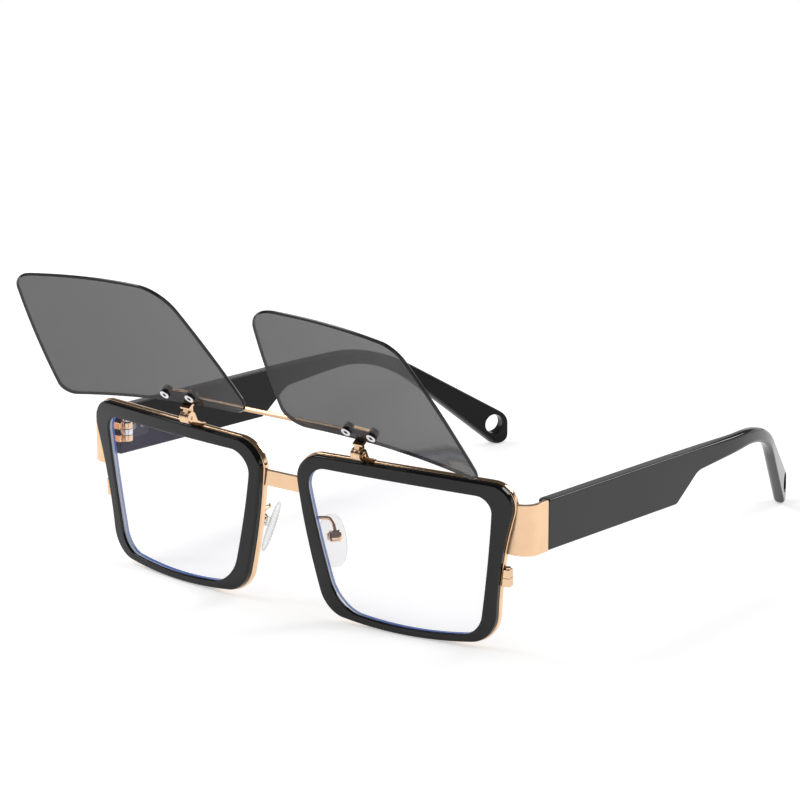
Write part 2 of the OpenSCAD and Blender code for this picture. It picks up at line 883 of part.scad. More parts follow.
front_ring(LEFT);  // front_ring_left
front_ring(RIGHT);  // front_ring_right
eyewire(LEFT);  // eyewire_left
eyewire(RIGHT);  // eyewire_right
clear_lens(LEFT);  // clear_lens_left
clear_lens(RIGHT);  // clear_lens_right
closing_block(LEFT);  // closing_block_left
closing_block(RIGHT);  // closing_block_right
closing_screw(LEFT);  // closing_screw_left
closing_screw(RIGHT);  // closing_screw_right
bridge();
endpiece(LEFT);  // endpiece_left
endpiece(RIGHT);  // endpiece_right
endpiece_hinge(LEFT);  // endpiece_hinge_left
endpiece_hinge(RIGHT);  // endpiece_hinge_right
hinge_screw(LEFT);  // hinge_screw_left
hinge_screw(RIGHT);  // hinge_screw_right
temple_hinge(LEFT);  // temple_hinge_left
temple_hinge(RIGHT);  // temple_hinge_right
temple(LEFT);  // temple_left
temple(RIGHT);  // temple_right
temple_rivets(LEFT);  // temple_rivets_left
temple_rivets(RIGHT);  // temple_rivets_right
pad_arm(LEFT);  // pad_arm_left
pad_arm(RIGHT);  // pad_arm_right
pad_box(LEFT);  // pad_box_left
pad_box(RIGHT);  // pad_box_right
pad_screw(LEFT);  // pad_screw_left
pad_screw(RIGHT);  // pad_screw_right
nose_pad(LEFT);  // nose_pad_left
nose_pad(RIGHT);  // nose_pad_right
flip_base(LEFT);  // flip_base_left
flip_base(RIGHT);  // flip_base_right
flip_pin(LEFT);  // flip_pin_left
flip_pin(RIGHT);  // flip_pin_right
flip_carrier(LEFT);  // flip_carrier_left
flip_carrier(RIGHT);  // flip_carrier_right
flip_bar();
tinted_lens(LEFT);  // tinted_lens_left
tinted_lens(RIGHT);  // tinted_lens_right
lens_bushings(LEFT);  // lens_bushings_left
lens_bushings(RIGHT);  // lens_bushings_right
lens_screws(LEFT);  // lens_screws_left
lens_screws(RIGHT);  // lens_screws_right
lens_nuts(LEFT);  // lens_nuts_left
lens_nuts(RIGHT);  // lens_nuts_right
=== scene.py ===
"""Flip up sunglasses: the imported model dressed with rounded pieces, finishes, lamps and a camera.

Sizes are in millimetres and angles in radians, except where a name or docstring says metres or degrees.
"""

import json
import logging
import math
from collections.abc import Callable
from dataclasses import dataclass, field
from enum import Enum

import bmesh
import bpy
from mathutils import Matrix, Vector


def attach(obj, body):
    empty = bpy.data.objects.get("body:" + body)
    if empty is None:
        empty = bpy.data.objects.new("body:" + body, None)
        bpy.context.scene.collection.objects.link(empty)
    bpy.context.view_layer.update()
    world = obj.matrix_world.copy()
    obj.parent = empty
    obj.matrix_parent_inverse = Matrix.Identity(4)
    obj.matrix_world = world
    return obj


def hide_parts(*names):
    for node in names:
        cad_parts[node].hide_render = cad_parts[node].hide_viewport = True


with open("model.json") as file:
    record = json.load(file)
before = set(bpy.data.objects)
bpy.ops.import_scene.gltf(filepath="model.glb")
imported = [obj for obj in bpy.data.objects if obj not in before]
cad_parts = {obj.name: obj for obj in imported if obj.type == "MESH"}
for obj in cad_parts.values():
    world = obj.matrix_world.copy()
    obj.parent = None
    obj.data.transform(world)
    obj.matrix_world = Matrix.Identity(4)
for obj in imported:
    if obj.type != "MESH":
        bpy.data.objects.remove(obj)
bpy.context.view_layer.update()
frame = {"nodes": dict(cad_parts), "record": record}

LOG = logging.getLogger("sunglasses")
MM = 0.001
MIDDLE_Y = 63.013
BODY_OF = {node: body for body, nodes in frame["record"]["behaviour"]["bodies"].items() for node in nodes}

Flat = tuple[float, float]
Place = tuple[float, float, float]
Curve = Callable[[float, float, float], Vector]


class Side(Enum):
    """The wearer's two sides."""

    LEFT = 1
    RIGHT = -1

    def node(self, name: str) -> str:
        """Names this side's copy of a node."""
        return f"{name}_{self.name.lower()}"

    def mirrored(self, point: Vector) -> Vector:
        """Puts a point of the left half on this side, in metres under the part's own origin."""
        return Vector((point.x * self.value, point.y - MIDDLE_Y, point.z)) * MM


# Outlines


def quarter_turn(parts: int) -> list[float]:
    """Divides a right angle, both ends included."""
    return [math.radians(90 * k / parts) for k in range(parts + 1)]


def full_turn(parts: int) -> list[float]:
    """Divides a circle, its end left out."""
    return [2 * math.pi * k / parts for k in range(parts)]


def corner_arc(before: Vector, corner: Vector, after: Vector, radius: float, steps: int) -> list[Vector]:
    """Rounds one corner.

    Args:
        before: The corner before it.
        corner: The corner to round.
        after: The corner after it.
        radius: The rounding's radius.
        steps: How many chords the arc has.

    Returns:
        The points of the arc, from the side before the corner to the side after it.
    """
    back, on = (before - corner).normalized(), (after - corner).normalized()
    half = back.angle(on) / 2
    centre = corner + (back + on).normalized() * radius / math.sin(half)
    first = corner + back * radius / math.tan(half) - centre
    last = corner + on * radius / math.tan(half) - centre
    start = math.atan2(first.y, first.x)
    sweep = (math.atan2(last.y, last.x) - start + math.pi) % (2 * math.pi) - math.pi
    return [
        centre + radius * Vector((math.cos(start + sweep * i / steps), math.sin(start + sweep * i / steps)))
        for i in range(steps + 1)
    ]


def rounded(corners: list[Vector], radii: tuple[float, ...], steps: int, side_steps: int) -> list[Vector]:
    """Rounds a closed outline and divides its sides.

    Args:
        corners: The corners in order.
        radii: One radius for each corner.
        steps: Chords in each arc.
        side_steps: Parts of each straight side.

    Returns:
        The outline's points.
    """
    count = len(corners)
    arcs = [
        corner_arc(corners[i - 1], corner, corners[(i + 1) % count], radii[i], steps)
        for i, corner in enumerate(corners)
    ]
    points: list[Vector] = []
    for i, arc in enumerate(arcs):
        points += arc
        points += [arc[-1].lerp(arcs[(i + 1) % count][0], k / side_steps) for k in range(1, side_steps)]
    return points


@dataclass(frozen=True)
class Outline:
    """A four sided outline with rounded corners and bowed sides.

    Its corners are given across and up: nose side low, outer side low, outer side high, nose side high. Its
    bows are those of the lower, upper, nose and outer side, and bow_reach is how far past the lower corners
    the upper and lower bows run out.
    """

    corners: tuple[Flat, ...]
    radii: tuple[float, ...]
    bows: tuple[float, ...]
    bow_reach: float = 4.0
    steps: int = 12
    side_steps: int = 12

    def inset(self, amount: float) -> list[Vector]:
        """Moves every side inward.

        Args:
            amount: How far.

        Returns:
            The new corners.
        """
        corners = [Vector(c) for c in self.corners]
        moved = []
        for i, corner in enumerate(corners):
            before = (corner - corners[i - 1]).normalized()
            after = (corners[(i + 1) % len(corners)] - corner).normalized()
            a, b = Vector((-before.y, before.x)), Vector((-after.y, after.x))
            moved.append(corner + amount * (a + b) / (1 + a.dot(b)))
        return moved

    def bowed(self, point: Vector) -> Vector:
        """Shifts a point as its bowed sides ask.

        Args:
            point: A place on or in the straight sided outline.

        Returns:
            The place on or in the bowed one.
        """
        (left, low), (right, _), (top_right, high), (top_left, _) = self.corners
        middle, half = (left + right) / 2, (right - left) / 2 + self.bow_reach
        down = min(1.0, max(0.0, (high - point.y) / (high - low)))
        out = min(1.0, max(0.0, (point.x - top_left) / (top_right - top_left)))
        across = 1 - ((point.x - middle) / half) ** 2
        along = 1 - ((point.y - (low + high) / 2) / ((high - low) / 2)) ** 2
        sideways = along * (self.bows[3] * out - self.bows[2] * (1 - out))
        return point + Vector((sideways, across * (self.bows[1] * (1 - down) - self.bows[0] * down)))

    def points(self, outward: float = 0.0) -> list[Vector]:
        """Gives the outline.

        Args:
            outward: How far outside the outline itself.

        Returns:
            Its points, as many at every offset.
        """
        radii = tuple(r + outward for r in self.radii)
        return [self.bowed(p) for p in rounded(self.inset(-outward), radii, self.steps, self.side_steps)]


RIM = Outline(((7.9, 0), (56.2, -0.3), (64.3, 39.7), (0, 40.2)), (6.2, 7.9, 6.6, 6.2), (2.8, 0.8, 1.3, -1.9))
OPENING = Outline(
    ((11.7, 1.7), (52.0, 1.2), (56.7, 36.3), (3.3, 37.2)), (8.3, 5.1, 3.8, 4.9), (2.4, 0.4, 0.95, 0.5)
)
TINT = Outline(((0, 0), (61.9, -2.1), (54.8, 42.9), (8.5, 43.2)), (5.6, 3.8, 6, 9), (0, 1.1, 0.9, 0.9))


# Where things stand


@dataclass(frozen=True)
class FrontCurve:
    """The curved front that the rims and clear lenses follow."""

    half_gap: float = 5.3
    wrap: float = math.radians(7.2)
    lean: float = math.radians(4.1)
    radius: float = 217
    middle: float = 32.15
    lift: float = 3.009

    def point(self, across: float, up: float, depth: float) -> Vector:
        """Places a point of the front.

        Args:
            across: Distance outward from the rim's nose side.
            up: Height along the rim.
            depth: Distance behind the front face.

        Returns:
            The place in the left half of the part.
        """
        sag = self.middle**2 / (2 * self.radius)
        y = self.radius - sag - math.sqrt((self.radius - depth) ** 2 - (across - self.middle) ** 2)
        x = self.half_gap + across * math.cos(self.wrap) - y * math.sin(self.wrap)
        y = across * math.sin(self.wrap) + y * math.cos(self.wrap)
        back = y * math.cos(self.lean) - up * math.sin(self.lean)
        return Vector((x, back, y * math.sin(self.lean) + up * math.cos(self.lean) + self.lift))


@dataclass(frozen=True)
class FlipFrame:
    """The raised flip: its axis, its lean and the curve of its lenses."""

    axis_y: float = -4.47487
    axis_z: float = 46.651
    lean: float = math.radians(35.7)
    half_gap: float = 5.2
    edge: float = 3.5
    base: float = 1.6199
    turn: float = math.radians(3.7)
    radius: float = 250
    middle: float = 30.95

    def point(self, x: float, y: float, z: float) -> Vector:
        """Places a point given along the flip: x across, y away from the eyes, z up the lens."""
        back = self.axis_y + y * math.cos(self.lean) - z * math.sin(self.lean)
        return Vector((x, back, self.axis_z + y * math.sin(self.lean) + z * math.cos(self.lean)))

    def lens_point(self, across: float, up: float, depth: float) -> Vector:
        """Places a point of a tinted lens.

        Args:
            across: Distance outward from the lens's nose side.
            up: Height above the lens's lower edge.
            depth: Distance behind its visible face.

        Returns:
            The place in the left half of the part.
        """
        sag = self.middle**2 / (2 * self.radius)
        y = sag - self.radius + math.sqrt((self.radius + depth) ** 2 - (across - self.middle) ** 2)
        return self.point(
            self.half_gap + across * math.cos(self.turn) + y * math.sin(self.turn),
            self.base + y * math.cos(self.turn) - across * math.sin(self.turn),
            self.edge + up,
        )


FRONT = FrontCurve()
FLIP = FlipFrame()


@dataclass(frozen=True)
class Sheet:
    """A lens blank: its outline on a curve, the depths of its two faces and its eased edge.

    Its faces are divided by rings of the outline, drawn in to shares of their distance from the middle.
    """

    curve: Curve
    outline: Outline
    middle: Flat
    rings: tuple[float, ...]
    outward: float
    ease: float
    front: float
    back: float


# Shaping

# Distances in metres below which points are one, and the angles between faces that count as flat and sharp
RING_WELD = 1e-7
COPY_WELD = 2e-6
FLAT_ANGLE = math.radians(0.4)
SHARP_ANGLE = math.radians(35)


def deselect_all() -> None:
    """Leaves nothing selected, in object mode."""
    if bpy.context.object and bpy.context.object.mode != "OBJECT":
        bpy.ops.object.mode_set(mode="OBJECT")
    bpy.ops.object.select_all(action="DESELECT")


def make_active(piece: bpy.types.Object) -> None:
    """Selects one object alone.

    Args:
        piece: The object.
    """
    deselect_all()
    piece.select_set(True)
    bpy.context.view_layer.objects.active = piece


def apply_modifier(piece: bpy.types.Object, kind: str, **settings: object) -> None:
    """Adds a modifier and applies it.

    Args:
        piece: The object it works on.
        kind: Blender's name of the modifier type.
        settings: The values of its properties.
    """
    make_active(piece)
    modifier = piece.modifiers.new(kind.title(), kind)
    for name, value in settings.items():
        setattr(modifier, name, value)
    bpy.ops.object.modifier_apply(modifier=modifier.name)


def polish(piece: bpy.types.Object, degrees: float = 32) -> None:
    """Shades a piece smooth across its roundings and keeps its broad faces flat.

    Args:
        piece: The object.
        degrees: The angle between faces up to which an edge is smooth.
    """
    make_active(piece)
    bpy.ops.object.shade_smooth_by_angle(angle=math.radians(degrees))
    apply_modifier(piece, "WEIGHTED_NORMAL", keep_sharp=True, weight=80)


def cut_away(piece: bpy.types.Object, cutter: bpy.types.Object, operation: str = "DIFFERENCE") -> None:
    """Cuts one closed shape out of another, or joins the two, and uses the tool up.

    Args:
        piece: What stays.
        cutter: The other shape.
        operation: The boolean modifier's operation.
    """
    apply_modifier(piece, "BOOLEAN", operation=operation, object=cutter, solver="EXACT")
    bpy.data.objects.remove(cutter)


def turn_outward(piece: bpy.types.Object) -> None:
    """Turns a closed mesh's faces outward.

    Args:
        piece: The object.
    """
    make_active(piece)
    bpy.ops.object.mode_set(mode="EDIT")
    bpy.ops.mesh.select_all(action="SELECT")
    bpy.ops.mesh.normals_make_consistent(inside=False)
    bpy.ops.object.mode_set(mode="OBJECT")


class Skin:
    """A mesh drawn out from a ring of points, one row after another."""

    def __init__(self, name: str, row: list[Vector]) -> None:
        """Starts with a circle and lays it on the first row.

        Args:
            name: The piece's name.
            row: The places of its first ring, in metres.
        """
        deselect_all()
        bpy.ops.mesh.primitive_circle_add(vertices=len(row), radius=0.01)
        self.piece = bpy.context.active_object
        self.piece.name = self.piece.data.name = name
        bpy.ops.object.mode_set(mode="EDIT")
        bpy.ops.mesh.select_mode(type="VERT")
        bpy.ops.mesh.select_all(action="SELECT")
        mesh = bmesh.from_edit_mesh(self.piece.data)
        mesh.verts.layers.int.new("turn")
        turn = mesh.verts.layers.int["turn"]
        for i, vert in enumerate(mesh.verts):
            vert[turn] = i
        self._lay(row)

    def _lay(self, row: list[Vector]) -> None:
        """Moves the selected ring onto a row of places.

        Args:
            row: The places, in metres.
        """
        mesh = bmesh.from_edit_mesh(self.piece.data)
        turn = mesh.verts.layers.int["turn"]
        for vert in mesh.verts:
            if vert.select:
                vert.co = row[vert[turn]]
        bmesh.update_edit_mesh(self.piece.data)

    def draw_out(self, row: list[Vector]) -> None:
        """Extrudes the open ring and lays the new one on a row of places."""
        bpy.ops.mesh.extrude_region_move(MESH_OT_extrude_region={"use_normal_flip": False})
        self._lay(row)

    def cap_both(self) -> None:
        """Closes the open ring and the first one with a face each."""
        bpy.ops.mesh.edge_face_add()
        bpy.ops.mesh.select_all(action="DESELECT")
        bpy.ops.mesh.select_mode(type="EDGE")
        bpy.ops.mesh.select_non_manifold(extend=False)
        bpy.ops.mesh.edge_face_add()

    def done(self, closed: bool) -> bpy.types.Object:
        """Turns all faces outward, after joining the ends where the last ring lies on the first.

        Args:
            closed: True if it does.

        Returns:
            The finished object.
        """
        bpy.ops.mesh.select_all(action="SELECT")
        if closed:
            bpy.ops.mesh.remove_doubles(threshold=RING_WELD)
        bpy.ops.mesh.normals_make_consistent(inside=False)
        bpy.ops.object.mode_set(mode="OBJECT")
        return self.piece


def skin(name: str, rows: list[list[Vector]], closed: bool) -> bpy.types.Object:
    """Draws a skin over rows of places.

    Args:
        name: The piece's name.
        rows: Rings of as many places each, in metres.
        closed: True if the last row joins the first, False if both ends are capped.

    Returns:
        The object.
    """
    work = Skin(name, rows[0])
    for row in rows[1:]:
        work.draw_out(row)
    if closed:
        work.draw_out(rows[0])
    else:
        work.cap_both()
    return work.done(closed)


def drum(name: str, profile: list[Flat], place: Matrix, around: int = 64) -> bpy.types.Object:
    """Makes a turned shape with closed ends.

    Args:
        name: The piece's name.
        profile: Radius and place along the axis, from one end to the other.
        place: Where the axis stands: its Z is the axis.
        around: Facets round it.

    Returns:
        The object, in metres.
    """
    rows = []
    for radius, along in profile:
        ring = [Vector((radius * math.cos(t), radius * math.sin(t), along)) for t in full_turn(around)]
        rows.append([place @ spot * MM for spot in ring])
    return skin(name, rows, closed=False)


def block(name: str, low: Place, high: Place, place: Matrix, rounding: float = 0.0) -> bpy.types.Object:
    """Makes a box with rounded edges.

    Args:
        name: The piece's name.
        low: Its lowest corner in its own directions.
        high: Its highest corner.
        place: Where it stands.
        rounding: Its edges' radius.

    Returns:
        The object, in metres.
    """
    deselect_all()
    bpy.ops.mesh.primitive_cube_add(size=1)
    piece = bpy.context.active_object
    piece.name = piece.data.name = name
    for vert in piece.data.vertices:
        own = Vector((high[i] if vert.co[i] > 0 else low[i]) for i in range(3))
        vert.co = place @ own * MM
    bpy.ops.object.mode_set(mode="EDIT")
    bpy.ops.mesh.select_all(action="SELECT")
    bpy.ops.mesh.normals_make_consistent(inside=False)
    if rounding:
        bpy.ops.mesh.bevel(offset=rounding * MM, segments=4, affect="EDGES")
    bpy.ops.object.mode_set(mode="OBJECT")
    return piece


def softened(node: str, name: str, edge: float, segments: int = 3) -> bpy.types.Object:
    """Copies a solid of the frame and breaks its sharp edges.

    Args:
        node: The node to copy.
        name: The piece's name.
        edge: The rounding's width.
        segments: Facets across the rounding.

    Returns:
        The copy.
    """
    piece = bpy.data.objects.new(name, frame["nodes"][node].data.copy())
    piece.data.name = name
    piece.data.materials.clear()
    bpy.context.scene.collection.objects.link(piece)
    make_active(piece)
    if piece.data.has_custom_normals:
        bpy.ops.mesh.customdata_custom_splitnormals_clear()
    bpy.ops.object.mode_set(mode="EDIT")
    bpy.ops.mesh.select_all(action="SELECT")
    bpy.ops.mesh.remove_doubles(threshold=COPY_WELD)
    bpy.ops.mesh.mark_sharp(clear=True)
    bpy.ops.mesh.dissolve_limited(angle_limit=FLAT_ANGLE)
    bpy.ops.mesh.normals_make_consistent(inside=False)
    bpy.ops.object.mode_set(mode="OBJECT")
    rounding = {"width": edge * MM, "segments": segments, "use_clamp_overlap": True}
    apply_modifier(piece, "BEVEL", limit_method="ANGLE", angle_limit=SHARP_ANGLE, **rounding)
    return piece


# Shader maths


class Value:
    """A shader socket that Python's operators work on, through Math nodes."""

    def __init__(self, recipe: "Recipe", socket: bpy.types.NodeSocket) -> None:
        """Keeps the socket and the recipe that it belongs to."""
        self.recipe = recipe
        self.socket = socket

    def _with(self, operation: str, *inputs: object) -> "Value":
        """Adds a Math node for one operation."""
        return self.recipe.add("ShaderNodeMath", {"operation": operation}, *inputs)

    def __add__(self, other: object) -> "Value":
        """Adds."""
        return self._with("ADD", self, other)

    __radd__ = __add__

    def __mul__(self, other: object) -> "Value":
        """Multiplies."""
        return self._with("MULTIPLY", self, other)

    __rmul__ = __mul__

    def __sub__(self, other: object) -> "Value":
        """Subtracts."""
        return self._with("SUBTRACT", self, other)

    def __rsub__(self, other: object) -> "Value":
        """Subtracts from."""
        return self._with("SUBTRACT", other, self)

    def __pow__(self, other: object) -> "Value":
        """Raises to a power."""
        return self._with("POWER", self, other)

    def clamped(self, low: float, high: float) -> "Value":
        """Maps low to 0 and high to 1, and stops there."""
        return self.recipe.add("ShaderNodeMapRange", {"clamp": True}, self, low, high, 0.0, 1.0)


class Recipe:
    """The node tree of one material or world."""

    def __init__(self, owner: bpy.types.Material | bpy.types.World) -> None:
        """Empties the owner's tree.

        Args:
            owner: The material or world that the nodes are for.
        """
        owner.use_nodes = True
        self.tree = owner.node_tree
        self.tree.nodes.clear()

    def add(
        self, kind: str, settings: dict | None, *inputs: object, out: str = "", **named: object
    ) -> Value:
        """Adds one node.

        Args:
            kind: The node's type.
            settings: Its properties, set first.
            inputs: Values or links of its first sockets in use, in order.
            out: The name of the output to hand back; without it, the first in use is.
            named: Values or links of sockets by name, with _ for a space.

        Returns:
            The chosen output, or the first input of a node that has none.
        """
        node = self.tree.nodes.new(kind)
        for name, value in (settings or {}).items():
            setattr(node, name, value)
        pairs = list(zip([s for s in node.inputs if s.enabled], inputs))
        pairs += [(node.inputs[name.replace("_", " ")], value) for name, value in named.items()]
        for socket, value in pairs:
            if isinstance(value, Value):
                self.tree.links.new(value.socket, socket)
            else:
                socket.default_value = value
        given = [s for s in node.outputs if s.enabled and out in (s.name, "")]
        return Value(self, given[0] if given else node.inputs[0])

    def place(self, stretch: Place = (1, 1, 1)) -> Value:
        """Gives the place on the object, stretched along its axes."""
        where = self.add("ShaderNodeTexCoord", None, out="Object")
        return self.add("ShaderNodeMapping", None, where, Scale=stretch)

    def noise(self, scale: float, detail: float = 4, stretch: Place = (1, 1, 1)) -> Value:
        """Gives a noise between 0 and 1.

        Args:
            scale: Its lumps per metre.
            detail: How many finer layers it has.
            stretch: How its lumps are squeezed along each axis.

        Returns:
            The noise.
        """
        sizes = {"Scale": scale, "Detail": detail, "Roughness": 0.55}
        return self.add("ShaderNodeTexNoise", None, Vector=self.place(stretch), **sizes)

    def mix(self, share: object, first: object, second: object) -> Value:
        """Mixes two colours; share is how much of the second there is."""
        return self.add("ShaderNodeMix", {"data_type": "RGBA"}, share, first, second)

    def bump(self, height: Value, strength: float, distance: float) -> Value:
        """Turns a height into a normal."""
        return self.add("ShaderNodeBump", None, Height=height, Strength=strength, Distance=distance)

    def principled(self, **sockets: object) -> Value:
        """Adds the shader that all of the object's finishes use."""
        return self.add("ShaderNodeBsdfPrincipled", None, **sockets)

    def white(self, kind: str, strength: float) -> Value:
        """Adds a white emission or background."""
        return self.add(kind, None, Color=rgb(1, 1, 1), Strength=strength)

    def ray(self, kind: str) -> Value:
        """Gives 1 on one kind of light path and 0 on the others."""
        return self.add("ShaderNodeLightPath", None, out=kind)

    def seen(self) -> Value:
        """Gives 1 where the eye, a mirror or a lens looks, and 0 for scattered light."""
        eye, mirror, lens = (self.ray(k) for k in ("Is Camera Ray", "Is Glossy Ray", "Is Transmission Ray"))
        return (eye + mirror + lens).clamped(0, 1)


def rgb(red: float, green: float, blue: float) -> tuple[float, float, float, float]:
    """Makes a colour with full alpha."""
    return (red, green, blue, 1.0)


@dataclass(frozen=True)
class Finish:
    """What a surface looks like."""

    name: str

    def shader(self, recipe: Recipe) -> Value:
        """Builds the surface's shader.

        Args:
            recipe: The tree to build in.

        Returns:
            The shader's output.
        """
        raise NotImplementedError

    def material(self) -> bpy.types.Material:
        """Gives the material, made on its first use.

        Returns:
            The material of the finish's name.
        """
        known = bpy.data.materials.get(self.name)
        if known:
            return known
        made = bpy.data.materials.new(self.name)
        recipe = Recipe(made)
        recipe.add("ShaderNodeOutputMaterial", None, Surface=self.shader(recipe))
        return made


@dataclass(frozen=True)
class GlossPlastic(Finish):
    """Polished black plastic with faint clouds, wiped smears and hairline scratches."""

    colour: Place = (0.0035, 0.0036, 0.004)
    haze: Place = (0.008, 0.008, 0.009)
    roughness: float = 0.04
    shine: float = 0.42

    def shader(self, recipe: Recipe) -> Value:
        """Builds the plastic.

        Args:
            recipe: The tree to build in.

        Returns:
            The shader's output.
        """
        cloud = recipe.noise(55, 3).clamped(0.35, 0.7)
        smear = recipe.noise(140, 4, (1, 0.25, 1)).clamped(0.45, 0.75)
        scratch = recipe.noise(900, 2, (1, 0.03, 1)).clamped(0.62, 0.7)
        ripple = recipe.noise(500, 2)
        return recipe.principled(
            Base_Color=recipe.mix(cloud * 0.7 + scratch * 0.2, rgb(*self.colour), rgb(*self.haze)),
            Roughness=smear * 0.05 + scratch * 0.04 + self.roughness,
            IOR=1.5,
            Specular_IOR_Level=self.shine,
            Normal=recipe.bump(ripple + scratch * 0.4, 0.05, 0.00002),
        )


@dataclass(frozen=True)
class PlatedMetal(Finish):
    """Polished plate: a fine grain along one way, slightly duller patches, and painted shade that darkens its
    creases.
    """

    colour: Place
    worn: Place
    roughness: float = 0.07
    # The shaded colour is painted shade, which creases within crease metres turn towards.
    shaded: Place = (0.2, 0.09, 0.03)
    crease: float = 0.0009
    grain: Place = (1, 1, 0.08)

    def shader(self, recipe: Recipe) -> Value:
        """Builds the metal.

        Args:
            recipe: The tree to build in.

        Returns:
            The shader's output.
        """
        patch = recipe.noise(260, 4).clamped(0.4, 0.75)
        grain = recipe.noise(2600, 3, self.grain)
        # Painted shade: where ambient occlusion finds the surface closed in, the plate's colour goes towards
        # the shaded one.
        open_air = recipe.add("ShaderNodeAmbientOcclusion", {"samples": 8}, Distance=self.crease, out="AO")
        plate = recipe.mix(patch * 0.6, rgb(*self.colour), rgb(*self.worn))
        return recipe.principled(
            Base_Color=recipe.mix(open_air.clamped(0.35, 0.85), rgb(*self.shaded), plate),
            Metallic=1.0,
            Roughness=patch * 0.05 + grain * 0.04 + self.roughness,
            Normal=recipe.bump(grain, 0.012, 0.00002),
        )


@dataclass(frozen=True)
class SeeThrough(Finish):
    """A tinted or clear sheet: its alpha is how much a face hides, and what it hides shows gloss and tint.

    Its colour changes between two heights, in metres, and its rim is how much more it hides seen aslant.
    """

    colour: Place
    low_colour: Place
    heights: Flat = (0.045, 0.085)
    alpha: float = 0.69
    roughness: float = 0.03
    shine: float = 0.5
    rim: float = 0.0

    def shader(self, recipe: Recipe) -> Value:
        """Builds the sheet.

        Args:
            recipe: The tree to build in.

        Returns:
            The shader's output.
        """
        where = recipe.add("ShaderNodeTexCoord", None, out="Object")
        rise = recipe.add("ShaderNodeSeparateXYZ", None, where, out="Z").clamped(*self.heights)
        dust = recipe.noise(1800, 2).clamped(0.7, 0.8)
        alpha: object = self.alpha
        if self.rim:
            slant = recipe.add("ShaderNodeLayerWeight", None, 0.5, out="Facing")
            alpha = (slant**3) * self.rim + self.alpha
        return recipe.principled(
            Base_Color=recipe.mix(rise, rgb(*self.low_colour), rgb(*self.colour)),
            Roughness=recipe.noise(90, 3).clamped(0.3, 0.8) * 0.02 + dust * 0.004 + self.roughness,
            IOR=1.5,
            Specular_IOR_Level=self.shine,
            Alpha=alpha,
        )


@dataclass(frozen=True)
class Paper(Finish):
    """The white table: plain, and a little brighter to the camera and to mirrors than its lamps make it."""

    colour: Place = (0.97, 0.97, 0.97)
    lift: float = 0.48
    mirrored_lift: float = 0.38

    def shader(self, recipe: Recipe) -> Value:
        """Builds the table's white.

        Args:
            recipe: The tree to build in.

        Returns:
            The shader's output.
        """
        matt = recipe.add("ShaderNodeBsdfDiffuse", None, Color=rgb(*self.colour), Roughness=0.6)
        lift = recipe.seen() * self.lift - recipe.ray("Is Glossy Ray") * (self.lift - self.mirrored_lift)
        glow = recipe.add("ShaderNodeMixShader", None, 1.0 - lift, recipe.white("ShaderNodeEmission", 1.0))
        return recipe.add("ShaderNodeAddShader", None, matt, glow)


# The heights, in metres, between which the clear lenses and their edges change colour
FRONT_HEIGHTS = (0.0, 0.05)

BLACK = GlossPlastic("gloss_black_plastic")
# Painted light: the temples' black is a lighter copy of the ring's black plastic, for the brighter
# reflections their faces show.
TEMPLE_BLACK = GlossPlastic("gloss_black_temple", (0.014, 0.0142, 0.0155), (0.024, 0.024, 0.027), 0.07, 0.34)
# Painted shade: the temples' inner sides get a darker, duller copy of the same black plastic.
SHADED_INNER_BLACK = GlossPlastic("dull_black_inner_side", (0.005, 0.005, 0.0055), (0.01, 0.01, 0.011), 0.14, 0.16)
GOLD = PlatedMetal("light_rose_gold", (0.93, 0.64, 0.41), (0.84, 0.56, 0.34))
SATIN_GOLD = PlatedMetal("satin_rose_gold", (0.97, 0.66, 0.42), (0.9, 0.6, 0.37), 0.3, crease=0.0003)
PIN_GOLD = PlatedMetal("dark_gold_pin", (0.72, 0.47, 0.27), (0.6, 0.38, 0.2), 0.1)
SILVER = PlatedMetal("bright_silver", (0.83, 0.83, 0.85), (0.66, 0.66, 0.68), 0.12, (0.1, 0.1, 0.11))
# On the lens screws this dark colour is painted shade, standing in for the shaded recess of their heads.
DARK_STEEL = PlatedMetal("dark_steel", (0.2, 0.2, 0.21), (0.12, 0.12, 0.13), 0.2, (0.03, 0.03, 0.03))
SMOKE = SeeThrough("smoke_tint", (0.016, 0.0125, 0.014), (0.024, 0.019, 0.021), shine=0.3)
SMOKE_EDGE = SeeThrough(
    "smoke_edge", (0.008, 0.009, 0.01), (0.012, 0.012, 0.014), alpha=0.97, roughness=0.08, shine=0.3
)
# The clear lens's coating is real, but its purple reflection is painted light: a faint purple colour that
# shows over dark things.
CLEAR = SeeThrough("coated_clear", (0.62, 0.55, 0.9), (0.66, 0.62, 0.82), FRONT_HEIGHTS, 0.06, 0.02)
# Painted light on the clear lens's edge: the bright blue wall paints its glow, and the deep blue of the eased
# corners paints its shaded borders.
BLUE_EDGE = SeeThrough("blue_lens_edge", (0.72, 0.88, 1.0), (0.76, 0.9, 1.0), FRONT_HEIGHTS, 0.85, 0.1)
DEEP_BLUE = SeeThrough("deep_blue_lens_edge", (0.08, 0.22, 0.72), (0.1, 0.26, 0.8), FRONT_HEIGHTS, 0.85, 0.1)
SILICONE = SeeThrough(
    "soft_clear_silicone", (0.82, 0.83, 0.84), (0.76, 0.77, 0.79), (0.0, 0.04), 0.11, 0.12, rim=0.9
)
TABLE = Paper("white_table")


# Pieces


